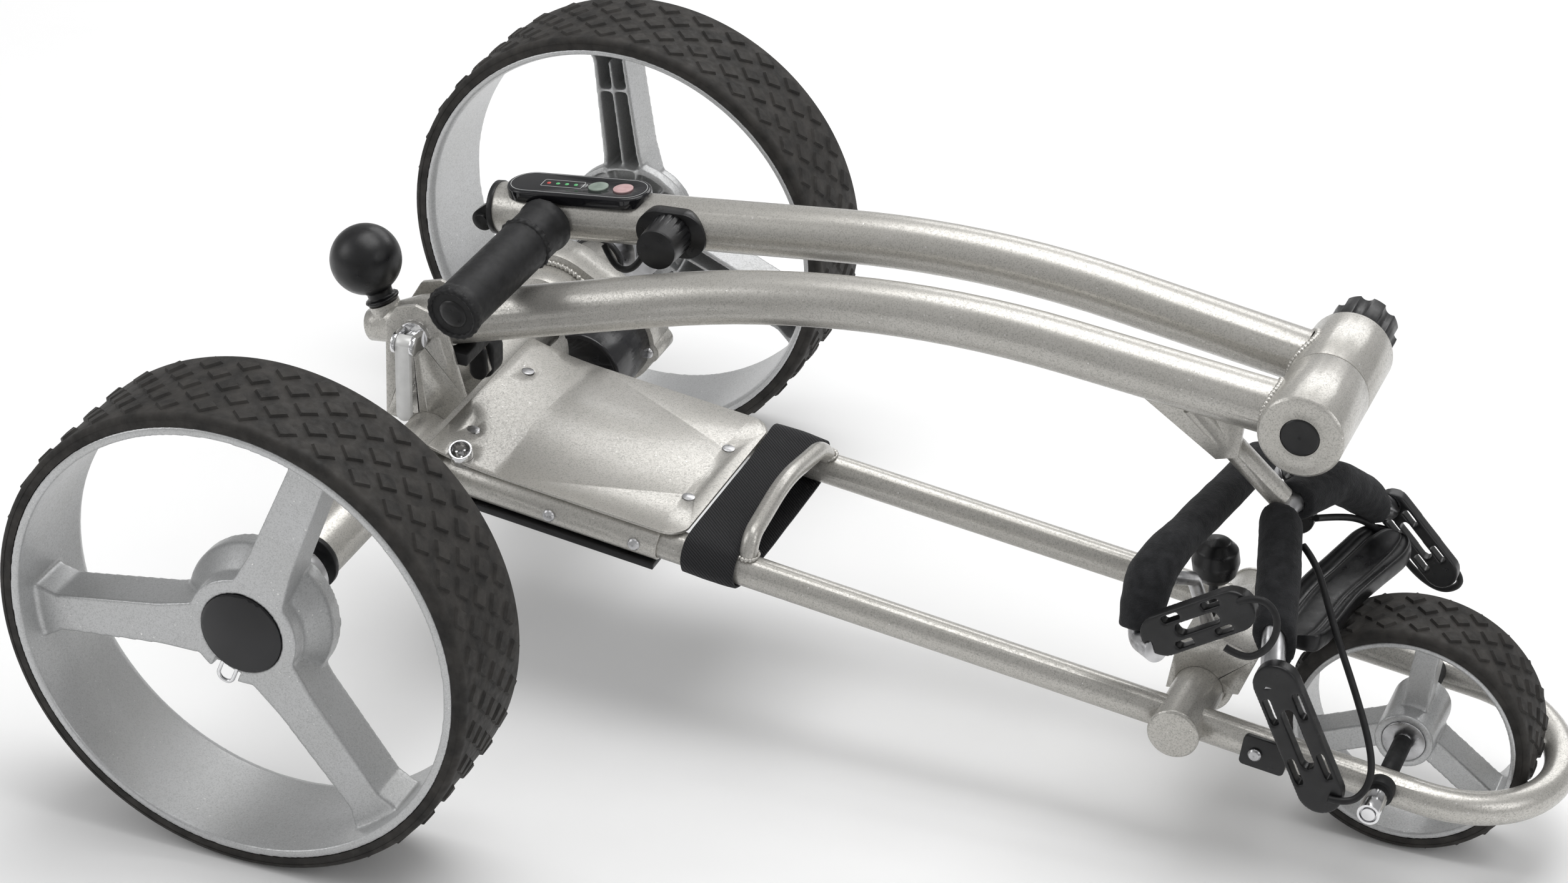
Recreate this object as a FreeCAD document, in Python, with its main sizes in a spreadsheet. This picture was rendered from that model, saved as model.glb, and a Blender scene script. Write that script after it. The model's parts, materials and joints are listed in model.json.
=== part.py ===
import FreeCAD, Part
import math
import os
import re

import Sketcher
from FreeCAD import Placement, Rotation, Vector

# An electric golf trolley, folded and standing on its three wheels.
# Millimetres. +X is the way it travels, +Y its left, +Z up, Z = 0 the floor, Y = 0 its middle plane.
# X = 0 is the middle of its length, so the rear axle is at axle_x.

DIMENSIONS = {
    # where the wheels stand
    "axle_x": -281.6, "wheel_base": 615.0, "track_half": 309.0,
    "rear_radius": 150.0, "rear_width": 75.5, "rim_radius": 140.0, "rim_wall": 3.4,
    "front_radius": 76.0, "front_width": 49.0, "front_rim_radius": 66.6,
    # rear hub and spokes
    "hub_radius": 34.5, "hub_depth": 38.0, "hub_recess": 17.0, "cap_radius": 25.5,
    "spoke_width": 27.0, "spoke_depth": 30.0, "spoke_wall": 3.0,
    "right_spoke_angle": 68.0, "left_spoke_angle": 98.0, "clip_angle": 248.0,
    "notch_width": 17.0, "wire_radius": 1.2,
    # front hub and spokes
    "front_hub_radius": 17.5, "front_spoke_width": 15.0, "front_spoke_depth": 22.0,
    "front_spoke_angle": 84.0, "bearing_radius": 13.0, "bearing_width": 8.0, "axle_radius": 4.0,
    # chassis tubes
    "rail_offset": 66.35, "rail_radius": 10.0, "rail_wall": 1.6, "rail_tilt": 6.64,
    "rail_height": 144.1, "rail_straight": 641.7, "sleeve_radius": 11.6, "sleeve_length": 145.0,
    "beam_radius": 16.0, "beam_wall": 2.5, "beam_half": 205.0, "shaft_radius": 6.0,
    "cross_radius": 15.0, "cross_x": 493.0, "cross_half": 84.0, "hoop_radius": 5.5, "hoop_x": 219.0,
    # drive on the left of the axle beam
    "gearbox_inner": 133.0, "gearbox_depth": 24.0, "gearbox_radius": 40.0, "motor_radius": 27.5,
    "motor_forward": 42.0, "motor_drop": 13.0, "motor_length": 49.0,
    # housing between the rails
    "plate_half": 75.0, "plate_front": 179.0, "plate_rear": 12.0, "plate_skin": 1.6,
    "tray_skin": 4.5, "socket_radius": 7.3, "socket_length": 14.0,
    # strap round the rails
    "strap_rear": 178.5, "strap_width": 34.0, "strap_skin": 1.8,
    # folding tubes
    "tube_radius": 16.0, "tube_wall": 1.8, "tube_side": 27.0,
    "pivot_x": -9.0, "pivot_z": 218.5, "bolt_radius": 4.0, "plate_gauge": 3.0, "plate_gap": 0.4,
    "hinge_x": 543.5, "hinge_z": 280.7, "hinge_radius": 25.2, "hinge_half": 55.6, "hinge_gap": 0.4,
    "hinge_pin": 6.0, "hinge_knob_radius": 20.0, "hinge_knob_length": 30.0,
    "main_bend": 660.0, "handle_bend": 655.0,
    "ball_radius": 22.2, "ball_lean": 23.0, "end_radius": 10.0, "end_length": 38.0,
    # handle
    "grip_radius": 16.3, "grip_length": 111.0, "grip_x": 53.2, "grip_z": 281.0, "grip_sweep": 5.7,
    "grip_drop": 5.8,
    "panel_length": 94.0, "panel_width": 30.0, "panel_height": 7.0, "button_radius": 6.2,
    "button_travel": 1.0, "dial_x": 135.0, "dial_z": 291.2, "dial_radius": 13.6, "dial_length": 22.5,
    # bag supports
    "bar_radius": 7.0, "foam_radius": 12.3, "across_radius": 11.0, "strut_radius": 7.5, "cord_radius": 2.1,
    "hook_gauge": 9.0, "cradle_width": 38.0, "cradle_gauge": 12.0,
}

doc = FreeCAD.newDocument("golf_trolley")
sheet = doc.addObject("Spreadsheet::Sheet", "Dims")
for row, (alias, number) in enumerate(DIMENSIONS.items(), start=1):
    sheet.set(f"A{row}", alias)
    sheet.set(f"B{row}", str(number))
    sheet.setAlias(f"B{row}", alias)
doc.recompute()

SUBPARTS = []
ALONG_Y = Rotation(Vector(1, 0, 0), -90)
UPRIGHT = Rotation()


# ---------------------------------------------------------------- helpers

def formula(text):
    """Point each dimension's name at its cell."""
    return re.sub(r"\b([a-z]+(?:_[a-z]+)+)\b", r"Dims.\1", text)


def value(text):
    """The number that a formula on the sheet gives."""
    return float(sheet.evalExpression(formula(text)))


def bind(item, **formulas):
    for name, text in formulas.items():
        item.setExpression(name, formula(text))


def place(item, at, rotation=UPRIGHT):
    """Stand an object at a point whose three coordinates are formulas."""
    item.Placement = Placement(Vector(*[value(text) for text in at]), rotation)
    for axis, text in zip("xyz", at):
        item.setExpression(f".Placement.Base.{axis}", formula(text))


def keep(item, label):
    item.Label = label
    SUBPARTS.append(item)
    return item


def feature(label, shape):
    """A sub-part whose shape is set from code."""
    item = doc.addObject("Part::Feature", label)
    item.Shape = shape
    return keep(item, label)


def rod(name, radius, length, at, rotation=ALONG_Y):
    item = doc.addObject("Part::Cylinder", name)
    bind(item, Radius=radius, Height=length)
    place(item, at, rotation)
    return item


def cut(name, base, tool):
    item = doc.addObject("Part::Cut", name)
    item.Base = base
    item.Tool = tool
    return item


def fuse(name, pieces):
    item = doc.addObject("Part::MultiFuse", name)
    item.Shapes = pieces
    item.Refine = False
    return item


def group(label, pieces):
    """Several equal pieces under one name."""
    item = doc.addObject("Part::Compound", label)
    item.Links = pieces
    return keep(item, label)


def outline(body, role, name, points):
    """A closed outline of straight lines whose corners are pairs of formulas."""
    sketch = body.newObject("Sketcher::SketchObject", name)
    plane = [item for item in body.Origin.OriginFeatures if item.Role == role][0]
    sketch.AttachmentSupport = [(plane, "")]
    sketch.MapMode = "FlatFace"
    corners = [Vector(value(across), value(up), 0) for across, up in points]
    count = len(corners)
    for i in range(count):
        sketch.addGeometry(Part.LineSegment(corners[i], corners[(i + 1) % count]), False)
    for i in range(count):
        sketch.addConstraint(Sketcher.Constraint("Coincident", i, 2, (i + 1) % count, 1))
    for i, (across, up) in enumerate(points):
        for kind, text, number in (("DistanceX", across, corners[i].x), ("DistanceY", up, corners[i].y)):
            index = sketch.addConstraint(Sketcher.Constraint(kind, -1, 1, i, 1, number))
            sketch.setExpression(f"Constraints[{index}]", formula(text))
    return sketch


def turned(name, points, at, rotation=ALONG_Y):
    """A body turned about its own Z from (radius, along) corners."""
    body = doc.addObject("PartDesign::Body", name)
    profile = outline(body, "XZ_Plane", name + "_profile", points)
    turn = body.newObject("PartDesign::Revolution", name + "_turn")
    turn.Profile = profile
    turn.ReferenceAxis = (profile, ["V_Axis"])
    turn.Angle = 360
    place(body, at, rotation)
    return body


def padded_plate(name, points, thickness, at):
    """A flat plate across Y from (x, z) corners, centred on its own middle plane."""
    body = doc.addObject("PartDesign::Body", name)
    profile = outline(body, "XZ_Plane", name + "_profile", points)
    pad = body.newObject("PartDesign::Pad", name + "_pad")
    pad.Profile = profile
    pad.setExpression("Length", formula(thickness))
    pad.Midplane = True
    place(body, at)
    return body


def from_axle(x, y, z):
    """A point measured forward of the rear axle."""
    return Vector(value("axle_x") + x, y, z)


def rounded_path(points, bend):
    """Straight runs joined by tangent arcs of one radius, or of one radius per corner."""
    bends = bend if isinstance(bend, (list, tuple)) else [bend] * (len(points) - 2)
    edges = []
    start = points[0]
    for i, radius in enumerate(bends, start=1):
        back = (points[i - 1] - points[i]).normalize()
        ahead = (points[i + 1] - points[i]).normalize()
        turn = math.pi - back.getAngle(ahead)
        reach = radius * math.tan(turn / 2)
        entry = points[i] + back * reach
        leave = points[i] + ahead * reach
        middle = (back + ahead).normalize()
        crown = points[i] + middle * (radius / math.cos(turn / 2) - radius)
        if (entry - start).Length > 1e-4:
            edges.append(Part.LineSegment(start, entry).toShape())
        edges.append(Part.Arc(entry, crown, leave).toShape())
        start = leave
    if (points[-1] - start).Length > 1e-4:
        edges.append(Part.LineSegment(start, points[-1]).toShape())
    return Part.Wire(edges)


def swept(points, bend, radius):
    """A solid round bar along a rounded path."""
    path = rounded_path(points, bend)
    ring = Part.Wire(Part.makeCircle(radius, points[0], points[1] - points[0]))
    return path.makePipeShell([ring], True, False)


def cord_bends(points):
    """The largest arc that each corner of a cord's route has room for."""
    bends = []
    for before, corner, after in zip(points, points[1:], points[2:]):
        back = before - corner
        ahead = after - corner
        turn = math.pi - back.getAngle(ahead)
        bends.append(0.45 * min(back.Length, ahead.Length) / math.tan(turn / 2))
    return bends


def cord(points):
    """A cord's tube along its route."""
    bends = cord_bends(points)
    print("cord bends", [round(radius, 1) for radius in bends])
    path_length = rounded_path(points, bends).Length
    shape = swept(points, bends, value("cord_radius"))
    section = math.pi * value("cord_radius") ** 2
    print("  length", round(path_length, 1), "volume ratio",
          round(shape.Volume / (section * path_length), 4))
    return shape


def link_face(first, second, first_radius, second_radius, y):
    """The outline round two circles in a plane across Y, as a face."""
    reach = second - first
    reach.y = 0
    spread = reach.Length
    along = reach.normalize()
    side = Vector(-along.z, 0, along.x)
    lean = (first_radius - second_radius) / spread
    rise = math.sqrt(1 - lean ** 2)
    tangents = [along * lean + side * (rise * sign) for sign in (1, -1)]
    a = Vector(first.x, y, first.z)
    b = Vector(second.x, y, second.z)
    a_up, a_down = [a + normal * first_radius for normal in tangents]
    b_up, b_down = [b + normal * second_radius for normal in tangents]
    edges = [
        Part.LineSegment(a_up, b_up).toShape(),
        Part.Arc(b_up, b + along * second_radius, b_down).toShape(),
        Part.LineSegment(b_down, a_down).toShape(),
        Part.Arc(a_down, a - along * first_radius, a_up).toShape(),
    ]
    return Part.Face(Part.Wire(edges))


def link_plate(first, second, first_radius, second_radius, y, thickness):
    """A flat link with two round ends, its faces across Y."""
    face = link_face(first, second, first_radius, second_radius, y - thickness / 2)
    return face.extrude(Vector(0, thickness, 0))


def tilt_with_rails(shape):
    """Move a shape drawn level, with Z = 0 on the rails' centreline, into the rails' plane."""
    moved = shape.copy()
    tilt = Placement(Vector(value("axle_x"), 0, value("rail_height")),
                     Rotation(Vector(0, 1, 0), value("rail_tilt")))
    moved.Placement = tilt.multiply(moved.Placement)
    return moved


# ---------------------------------------------------------------- chassis

def make_frame_rails():
    """One tube bent round the front wheel: two parallel rails and a half round."""
    offset = value("rail_offset")
    reach = value("rail_straight") + offset
    rear = value("beam_radius") - 4
    route = [Vector(rear, -offset, 0), Vector(reach, -offset, 0), Vector(reach, offset, 0),
             Vector(rear, offset, 0)]
    bend = offset - 0.01
    outer = swept(route, bend, value("rail_radius"))
    bore = swept(route, bend, value("rail_radius - rail_wall"))
    rails = tilt_with_rails(outer.cut(bore))
    beam = Part.makeCylinder(value("beam_radius"), 400, Vector(value("axle_x"), -200, value("rear_radius")),
                             Vector(0, 1, 0))
    axle_hole = Part.makeCylinder(value("axle_radius + 0.05"), 240,
                                  Vector(value("axle_x + wheel_base"), -120,
                                         value("front_radius")), Vector(0, 1, 0))
    cross_hole = Part.makeCylinder(value("cross_radius"), 240,
                                   Vector(value("axle_x + cross_x"), -120, cross_height()), Vector(0, 1, 0))
    feature("frame_rails", rails.cut(beam).cut(axle_hole).cut(cross_hole))


def cross_height():
    """Height of the rails' centreline where the cross tube goes through them."""
    return value("rail_height - cross_x * tan(rail_tilt)")


def make_rail_sleeves():
    """The wider tubes that the rails' rear ends are pushed into."""
    rear = value("beam_radius") + 4
    sleeves = []
    for side in (-1, 1):
        start = Vector(rear, side * value("rail_offset"), 0)
        length = value("sleeve_length")
        outer = Part.makeCylinder(value("sleeve_radius"), length, start, Vector(1, 0, 0))
        inner = Part.makeCylinder(value("rail_radius"), length, start, Vector(1, 0, 0))
        sleeves.append(tilt_with_rails(outer.cut(inner)))
    feature("rail_sleeves", Part.makeCompound(sleeves))


def make_axle_beam():
    """The transverse tube that carries the rear wheels, with its collar against the gearbox."""
    height = "rear_radius"
    tube = rod("beam_tube", "beam_radius", "2 * beam_half", ("axle_x", "-beam_half", height))
    collar = rod("beam_collar", "gearbox_radius - 7", "22", ("axle_x", "gearbox_inner - 22", height))
    bore = rod("beam_bore", "beam_radius - beam_wall", "2 * beam_half + 2",
               ("axle_x", "-beam_half - 1", height))
    keep(cut("axle_beam", fuse("beam_outside", [tube, collar]), bore), "axle_beam")


def make_axle_shaft():
    """The steel shaft that both rear wheels turn on."""
    keep(rod("axle_shaft", "shaft_radius", "2 * (track_half - hub_recess - 6)",
             ("axle_x", "-(track_half - hub_recess - 6)", "rear_radius")), "axle_shaft")


def make_axle_bushes():
    """The stepped bush in each end of the beam, against the wheel's hub."""
    bore = "shaft_radius + 0.05"
    points = [(bore, "0"), ("beam_radius - beam_wall", "0"), ("beam_radius - beam_wall", "18"),
              ("beam_radius + 2", "18"), ("beam_radius + 2", "22"), ("beam_radius - 3", "22"), (bore, "22")]
    right = turned("bush_right", points, ("axle_x", "-beam_half + 18", "rear_radius"),
                   Rotation(Vector(1, 0, 0), 90))
    left = turned("bush_left", points, ("axle_x", "beam_half - 18", "rear_radius"))
    group("axle_bushes", [right, left])


def make_drive_discs():
    """The shouldered disc on each end of the shaft that drives the wheel's hub."""
    points = [("shaft_radius", "0"), ("hub_radius - 14", "0"), ("hub_radius - 14", "12"),
              ("shaft_radius + 4", "14"),
              ("shaft_radius + 4", "22"), ("hub_radius - 1.5", "24"), ("hub_radius - 1.5", "31"),
              ("shaft_radius", "31")]
    reach = "(track_half - hub_recess - hub_depth - 31.3)"
    right = turned("disc_right", points, ("axle_x", f"-{reach}", "rear_radius"),
                   Rotation(Vector(1, 0, 0), 90))
    left = turned("disc_left", points, ("axle_x", reach, "rear_radius"))
    group("drive_discs", [right, left])


def motor_centre():
    return Vector(value("axle_x + motor_forward"), 0, value("rear_radius - motor_drop"))


def lug_centres():
    """Where the gearbox is screwed together: lugs spread round its outline."""
    lugs = []
    motor = motor_centre()
    for angle in (-8, 68, -84):
        reach = value("motor_radius") - 1
        lugs.append(Vector(motor.x + reach * math.cos(math.radians(angle)), 0,
                           motor.z + reach * math.sin(math.radians(angle))))
    return lugs


def make_gearbox_housing():
    """The flat gear housing round the beam, reaching forward to the motor."""
    middle = value("gearbox_inner + gearbox_depth / 2")
    depth = value("gearbox_depth")
    axle = Vector(value("axle_x"), 0, value("rear_radius"))
    shape = link_plate(axle, motor_centre(), value("gearbox_radius"), value("motor_radius") + 3, middle,
                       depth)
    for lug in lug_centres():
        shape = shape.fuse(Part.makeCylinder(7.5, depth, Vector(lug.x, middle - depth / 2, lug.z),
                                             Vector(0, 1, 0)))
    hole = Part.makeCylinder(value("beam_radius"), depth + 2,
                             Vector(axle.x, middle - depth / 2 - 1, axle.z),
                             Vector(0, 1, 0))
    feature("gearbox_housing", shape.cut(hole).removeSplitter())


def make_motor_housing():
    """The motor's can, standing off the gearbox towards the middle of the trolley."""
    at = ("axle_x + motor_forward", "gearbox_inner - motor_length", "rear_radius - motor_drop")
    points = [("0", "1.5"), ("motor_radius - 3", "1.5"), ("motor_radius - 3", "0"),
              ("motor_radius - 0.8", "0"),
              ("motor_radius", "1"), ("motor_radius", "motor_length"), ("0", "motor_length")]
    body = turned("motor_can", points, at)
    clear_of_beam = rod("motor_clearance", "gearbox_radius - 6.8", "60",
                        ("axle_x", "gearbox_inner - 60", "rear_radius"))
    keep(cut("motor_housing", body, clear_of_beam), "motor_housing")


def pan_screw(name, at, rotation):
    """A domed screw with a short shank. Its head stands along its own Z."""
    points = [("0", "-5"), ("1.9", "-5"), ("1.9", "0"), ("4", "0"), ("4", "1.2"), ("3", "2.4"),
              ("0", "2.8")]
    return turned(name, points, at, rotation)


def flat_screw(name, x, y):
    """A countersunk screw, flush in the cover plate."""
    points = [("0", "-5"), ("1.6", "-5"), ("1.6", "-1.6"), ("3.9", "0"), ("3.9", "0.4"), ("0", "0.4")]
    height = cover_height(x) + 0.05
    rotation = Rotation(Vector(0, 1, 0), value("rail_tilt"))
    return turned(name, points, (f"axle_x + {x}", f"{y}", f"{height}"), rotation)


def make_frame_screws():
    """Every small screw on the chassis."""
    toward_right = Rotation(Vector(1, 0, 0), 90)
    toward_left = Rotation(Vector(1, 0, 0), -90)
    screws = []
    for i, (x, y) in enumerate(((26, -40), (26, 40), (166, -32), (166, 32))):
        screws.append(flat_screw(f"cover_screw_{i}", x, y))
    for i, x in enumerate((94, 150)):
        height = value("rail_height") - x * math.tan(math.radians(value("rail_tilt")))
        for name, side, rotation in (("right", -1, toward_right), ("left", 1, toward_left)):
            reach = side * (value("rail_offset + sleeve_radius"))
            screws.append(pan_screw(f"side_screw_{name}_{i}", (f"axle_x + {x}", f"{reach}", f"{height}"),
                                    rotation))
    for i, lug in enumerate(lug_centres()):
        screws.append(pan_screw(f"gearbox_screw_{i}", (f"{lug.x}", "gearbox_inner", f"{lug.z}"),
                                toward_right))
    clip = clip_centre()
    screws.append(pan_screw("clip_screw", (f"{clip.x - 5}", f"{clip.y - 2}", f"{clip.z}"), toward_right))
    group("frame_screws", screws)


# ---------------------------------------------------------------- housing between the rails

def cover_height(x):
    """Height of the cover's top, x forward of the axle: flat in front, swept up to the beam behind."""
    on_rails = value("rail_height") - x * math.tan(math.radians(value("rail_tilt"))) \
        + value("sleeve_radius + plate_skin")
    rise = max(0.0, (60 - x) / 60)
    return on_rails + 8 * rise ** 2


def make_cover_plate():
    """A pressed plate lying on both rails, its rear swept up and its long edges turned down."""
    skin = value("plate_skin")
    stations = (value("plate_rear"), 30, 60, value("plate_front"))
    tops = [from_axle(x, 0, cover_height(x)) for x in stations]
    curve = Part.BSplineCurve()
    curve.interpolate(tops[:3])
    half = value("plate_half")
    edges = [curve.toShape(), Part.LineSegment(tops[2], tops[3]).toShape()]
    lower = [point - Vector(0, 0, skin) for point in tops]
    under = Part.BSplineCurve()
    under.interpolate(lower[:3])
    edges += [Part.LineSegment(tops[3], lower[3]).toShape(), Part.LineSegment(lower[3], lower[2]).toShape(),
              under.toShape(), Part.LineSegment(lower[0], tops[0]).toShape()]
    face = Part.Face(Part.Wire(Part.__sortEdges__(edges)))
    face.translate(Vector(0, -half, 0))
    sheet_metal = face.extrude(Vector(0, 2 * half, 0))
    corner = 14
    front = value("axle_x + plate_front")
    for side in (-1, 1):
        block_shape = Part.makeBox(corner, corner, 60, Vector(front - corner,
                                                              side * half - (corner if side > 0 else 0),
                                                              cover_height(180) - 30))
        round_tool = Part.makeCylinder(corner, 60, Vector(front - corner, side * (half - corner),
                                                          cover_height(180) - 30))
        sheet_metal = sheet_metal.cut(block_shape.cut(round_tool))
    beam = Part.makeCylinder(value("beam_radius") + 0.2, 400,
                             Vector(value("axle_x"), -200, value("rear_radius")), Vector(0, 1, 0))
    for x, y in ((26, -40), (26, 40), (166, -32), (166, 32)):
        hole = Part.makeCylinder(4.0, 8, from_axle(x, y, cover_height(x) - 4))
        sheet_metal = sheet_metal.cut(hole)
    socket = socket_hole(value("socket_radius") + 0.1)
    feature("cover_plate", sheet_metal.cut(beam).cut(socket))


def make_bottom_tray():
    """The black tray under the sleeves that closes the housing from below."""
    rear = value("beam_radius") + 6
    length = value("sleeve_length") - 3
    skin = value("tray_skin")
    half = value("rail_offset") + 9
    low = -value("sleeve_radius") - skin
    plate = Part.makeBox(length, 2 * half, skin, Vector(rear, -half, low))
    rib_half = value("rail_offset - sleeve_radius") - 2
    case = Part.makeBox(length - 24, 2 * rib_half, 17, Vector(rear + 12, -rib_half, low + skin))
    feature("bottom_tray", tilt_with_rails(plate.fuse(case).removeSplitter()))


def socket_frame():
    """The charge socket's foot and the direction it faces: up and to the right."""
    foot = from_axle(30.5, -65, cover_height(31.5) - 7.5)
    facing = Vector(0.1, -0.42, 0.9)
    return foot, facing.normalize()


def socket_hole(radius):
    foot, facing = socket_frame()
    return Part.makeCylinder(radius, 30, foot - facing * 8, facing)


def make_charge_socket():
    """A round three-pin socket in a plated shell."""
    foot, facing = socket_frame()
    radius = value("socket_radius")
    length = value("socket_length")
    shell = Part.makeCylinder(radius, length, foot, facing)
    shell = shell.cut(Part.makeCylinder(radius - 1.3, length - 3, foot + facing * 3, facing))
    across = facing.cross(Vector(1, 0, 0)).normalize()
    shape = shell
    for turn in (90, 210, 330):
        spot = Rotation(facing, turn).multVec(across) * 2.9
        pin = Part.makeCylinder(0.9, length - 6, foot + facing * 2.5 + spot, facing)
        shape = shape.fuse(pin)
    sleeve = Part.makeCylinder(value("sleeve_radius") + 0.1, 200,
                               Vector(0, -value("rail_offset"), 0), Vector(1, 0, 0))
    feature("charge_socket", shape.cut(tilt_with_rails(sleeve)))


# ---------------------------------------------------------------- battery hoop and strap

def rail_z(x):
    """Height of the rails' centreline, x forward of the axle."""
    return value("rail_height") - x * math.tan(math.radians(value("rail_tilt")))


def make_battery_hoop():
    """A thin tube arched from rail to rail in front of the housing."""
    x = value("hoop_x")
    offset = value("rail_offset")
    foot = rail_z(x) + value("rail_radius") - 2.5
    route = [from_axle(x, -offset - 1, foot), from_axle(x, -offset + 6, foot + 14),
             from_axle(x, -8, foot + 24),
             from_axle(x, offset - 12, foot + 13), from_axle(x, offset, foot)]
    hoop = swept(route, [14, 110, 30], value("hoop_radius"))
    rails = [tilt_with_rails(Part.makeCylinder(value("rail_radius"), 300, Vector(100, side * offset, 0),
                                               Vector(1, 0, 0)))
             for side in (-1, 1)]
    feature("battery_hoop", hoop.cut(rails[0]).cut(rails[1]))


def make_battery_strap():
    """A flat webbing loop round both rails."""
    skin = value("strap_skin")
    width = value("strap_width")
    inner = value("rail_radius") + 0.3
    offset = value("rail_offset")
    wires = []
    for reach in (inner + skin, inner):
        lift = 0
        right_top = Vector(0, -offset, reach + lift)
        left_top = Vector(0, offset, reach + lift)
        edges = [
            Part.LineSegment(right_top, left_top).toShape(),
            Part.Arc(left_top, Vector(0, offset + reach, 0), Vector(0, offset, -reach)).toShape(),
            Part.LineSegment(Vector(0, offset, -reach), Vector(0, -offset, -reach)).toShape(),
            Part.Arc(Vector(0, -offset, -reach), Vector(0, -offset - reach, 0), right_top).toShape(),
        ]
        wires.append(Part.Wire(edges))
    band = Part.Face(wires[0]).cut(Part.Face(wires[1])).extrude(Vector(width, 0, 0))
    band.translate(Vector(value("strap_rear + 1.5"), 0, 0))
    feature("battery_strap", tilt_with_rails(band))


# ---------------------------------------------------------------- rear bracket and its clamp

def bracket_sides():
    """Middle planes of the two bracket plates, either side of the main tube."""
    reach = value("tube_radius + plate_gap + plate_gauge / 2")
    return (-value("tube_side") - reach, -value("tube_side") + reach)


def make_bracket_plates():
    """Two gusset plates on the axle beam with the main tube pivoted between them."""
    corners = [("-21", "-60"), ("12", "-64"), ("33", "-36"), ("22", "4"), ("14", "16"), ("0", "20"),
               ("-13", "16"),
               ("-20", "4")]
    plates = []
    for name, y in zip(("right", "left"), bracket_sides()):
        plate = padded_plate(f"bracket_{name}", corners, "plate_gauge",
                             ("axle_x + pivot_x", f"{y}", "pivot_z"))
        beam = rod(f"bracket_beam_{name}", "beam_radius", "20", ("axle_x", f"{y} - 10", "rear_radius"))
        hole = rod(f"bracket_hole_{name}", "bolt_radius + 0.05", "20",
                   ("axle_x + pivot_x", f"{y} - 10", "pivot_z"))
        plates.append(cut(f"bracket_cut_{name}", cut(f"bracket_seat_{name}", plate, beam), hole))
    group("bracket_plates", plates)


def make_pivot_bolt():
    """The bolt through the bracket, with a washer, and the clevis that the cam lever turns in."""
    right, left = bracket_sides()
    gauge = value("plate_gauge")
    centre = Vector(value("axle_x + pivot_x"), 0, value("pivot_z"))
    face = right - gauge / 2
    far_face = left + gauge / 2
    across = Vector(0, 1, 0)
    shank = Part.makeCylinder(value("bolt_radius"), far_face - face + 10,
                              Vector(centre.x, face - 6, centre.z), across)
    washer = Part.makeCylinder(9.5, 3, Vector(centre.x, face - 3, centre.z), across)
    nut = Part.makeCylinder(7, 5, Vector(centre.x, far_face, centre.z), across)
    shape = shank.fuse([washer, nut])
    for side in (-1, 1):
        cheek = link_plate(Vector(0, 0, 0), Vector(8, 0, 0), 6.5, 6.5, 0, 2.4)
        cheek.Placement = Placement(Vector(centre.x + side * 6.2, face - 5, centre.z),
                                    Rotation(Vector(0, 0, 1), -90))
        shape = shape.fuse(cheek)
    barrel = Part.makeCylinder(2.5, 14.8, Vector(centre.x - 7.4, face - 13, centre.z), Vector(1, 0, 0))
    feature("pivot_bolt", shape.fuse(barrel).removeSplitter())


def cam_axis():
    """Where the cam lever turns: a cross pin in the clevis, along X."""
    right = bracket_sides()[0]
    return Vector(value("axle_x + pivot_x"), right - value("plate_gauge") / 2 - 13, value("pivot_z"))


def make_cam_lever():
    """The quick-release lever: a cam between the clevis cheeks and a flat arm hanging from it."""
    pin = cam_axis()
    cam = Part.makeCylinder(5.6, 9.4, Vector(pin.x - 4.7, pin.y, pin.z), Vector(1, 0, 0))
    cam = cam.cut(Part.makeCylinder(2.58, 12, Vector(pin.x - 6, pin.y, pin.z), Vector(1, 0, 0)))
    arm = Part.makeBox(9.4, 3.6, 42, Vector(pin.x - 4.7, pin.y - 5.6, pin.z - 46))
    neck = Part.makeBox(9.4, 3.6, 8, Vector(pin.x - 4.7, pin.y - 5.6, pin.z - 7))
    hole = Part.makeCylinder(2.58, 12, Vector(pin.x - 6, pin.y, pin.z), Vector(1, 0, 0))
    tip = Part.makeCylinder(4.7, 3.6, Vector(pin.x, pin.y - 5.6, pin.z - 46), Vector(0, 1, 0))
    feature("cam_lever", cam.fuse([arm, neck.cut(hole), tip]).removeSplitter())


def make_stop_bumper():
    """An oval rubber stop in a holder on the left plate, and the pad that the folded main tube rests on."""
    left = bracket_sides()[1] - value("plate_gauge") / 2
    low = from_axle(17, 0, 182)
    high = from_axle(17, 0, 194)
    holder = link_plate(low, high, 7.6, 7.6, left + 9, 18)
    bumper = link_plate(low, high, 5.8, 5.8, left - 2, 4)
    plate = Part.makeBox(80, value("plate_gauge"), 90, from_axle(-40, left, 150))
    inside = 2 * value("tube_radius") + 0.7
    pad = Part.makeBox(14, inside, 8, from_axle(10, -value("tube_side") - inside / 2, 202))
    start = from_axle(MAIN_ROUTE[0][0], -value("tube_side"), MAIN_ROUTE[0][1])
    tube = Part.makeCylinder(value("tube_radius") + 0.6, 200, start, main_direction())
    feature("stop_bumper", Part.makeCompound([holder.cut(plate), bumper, pad.cut(tube)]))


# ---------------------------------------------------------------- front of the chassis

def make_cross_tube():
    """The transverse tube through both rails that carries the lower bag support."""
    height = f"{cross_height()}"
    outer = rod("cross_outer", "cross_radius", "2 * cross_half",
                ("axle_x + cross_x", "-cross_half", height))
    bore = rod("cross_bore", "cross_radius - 2", "2 * cross_half + 2",
               ("axle_x + cross_x", "-cross_half - 1", height))
    keep(cut("cross_tube", outer, bore), "cross_tube")


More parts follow.
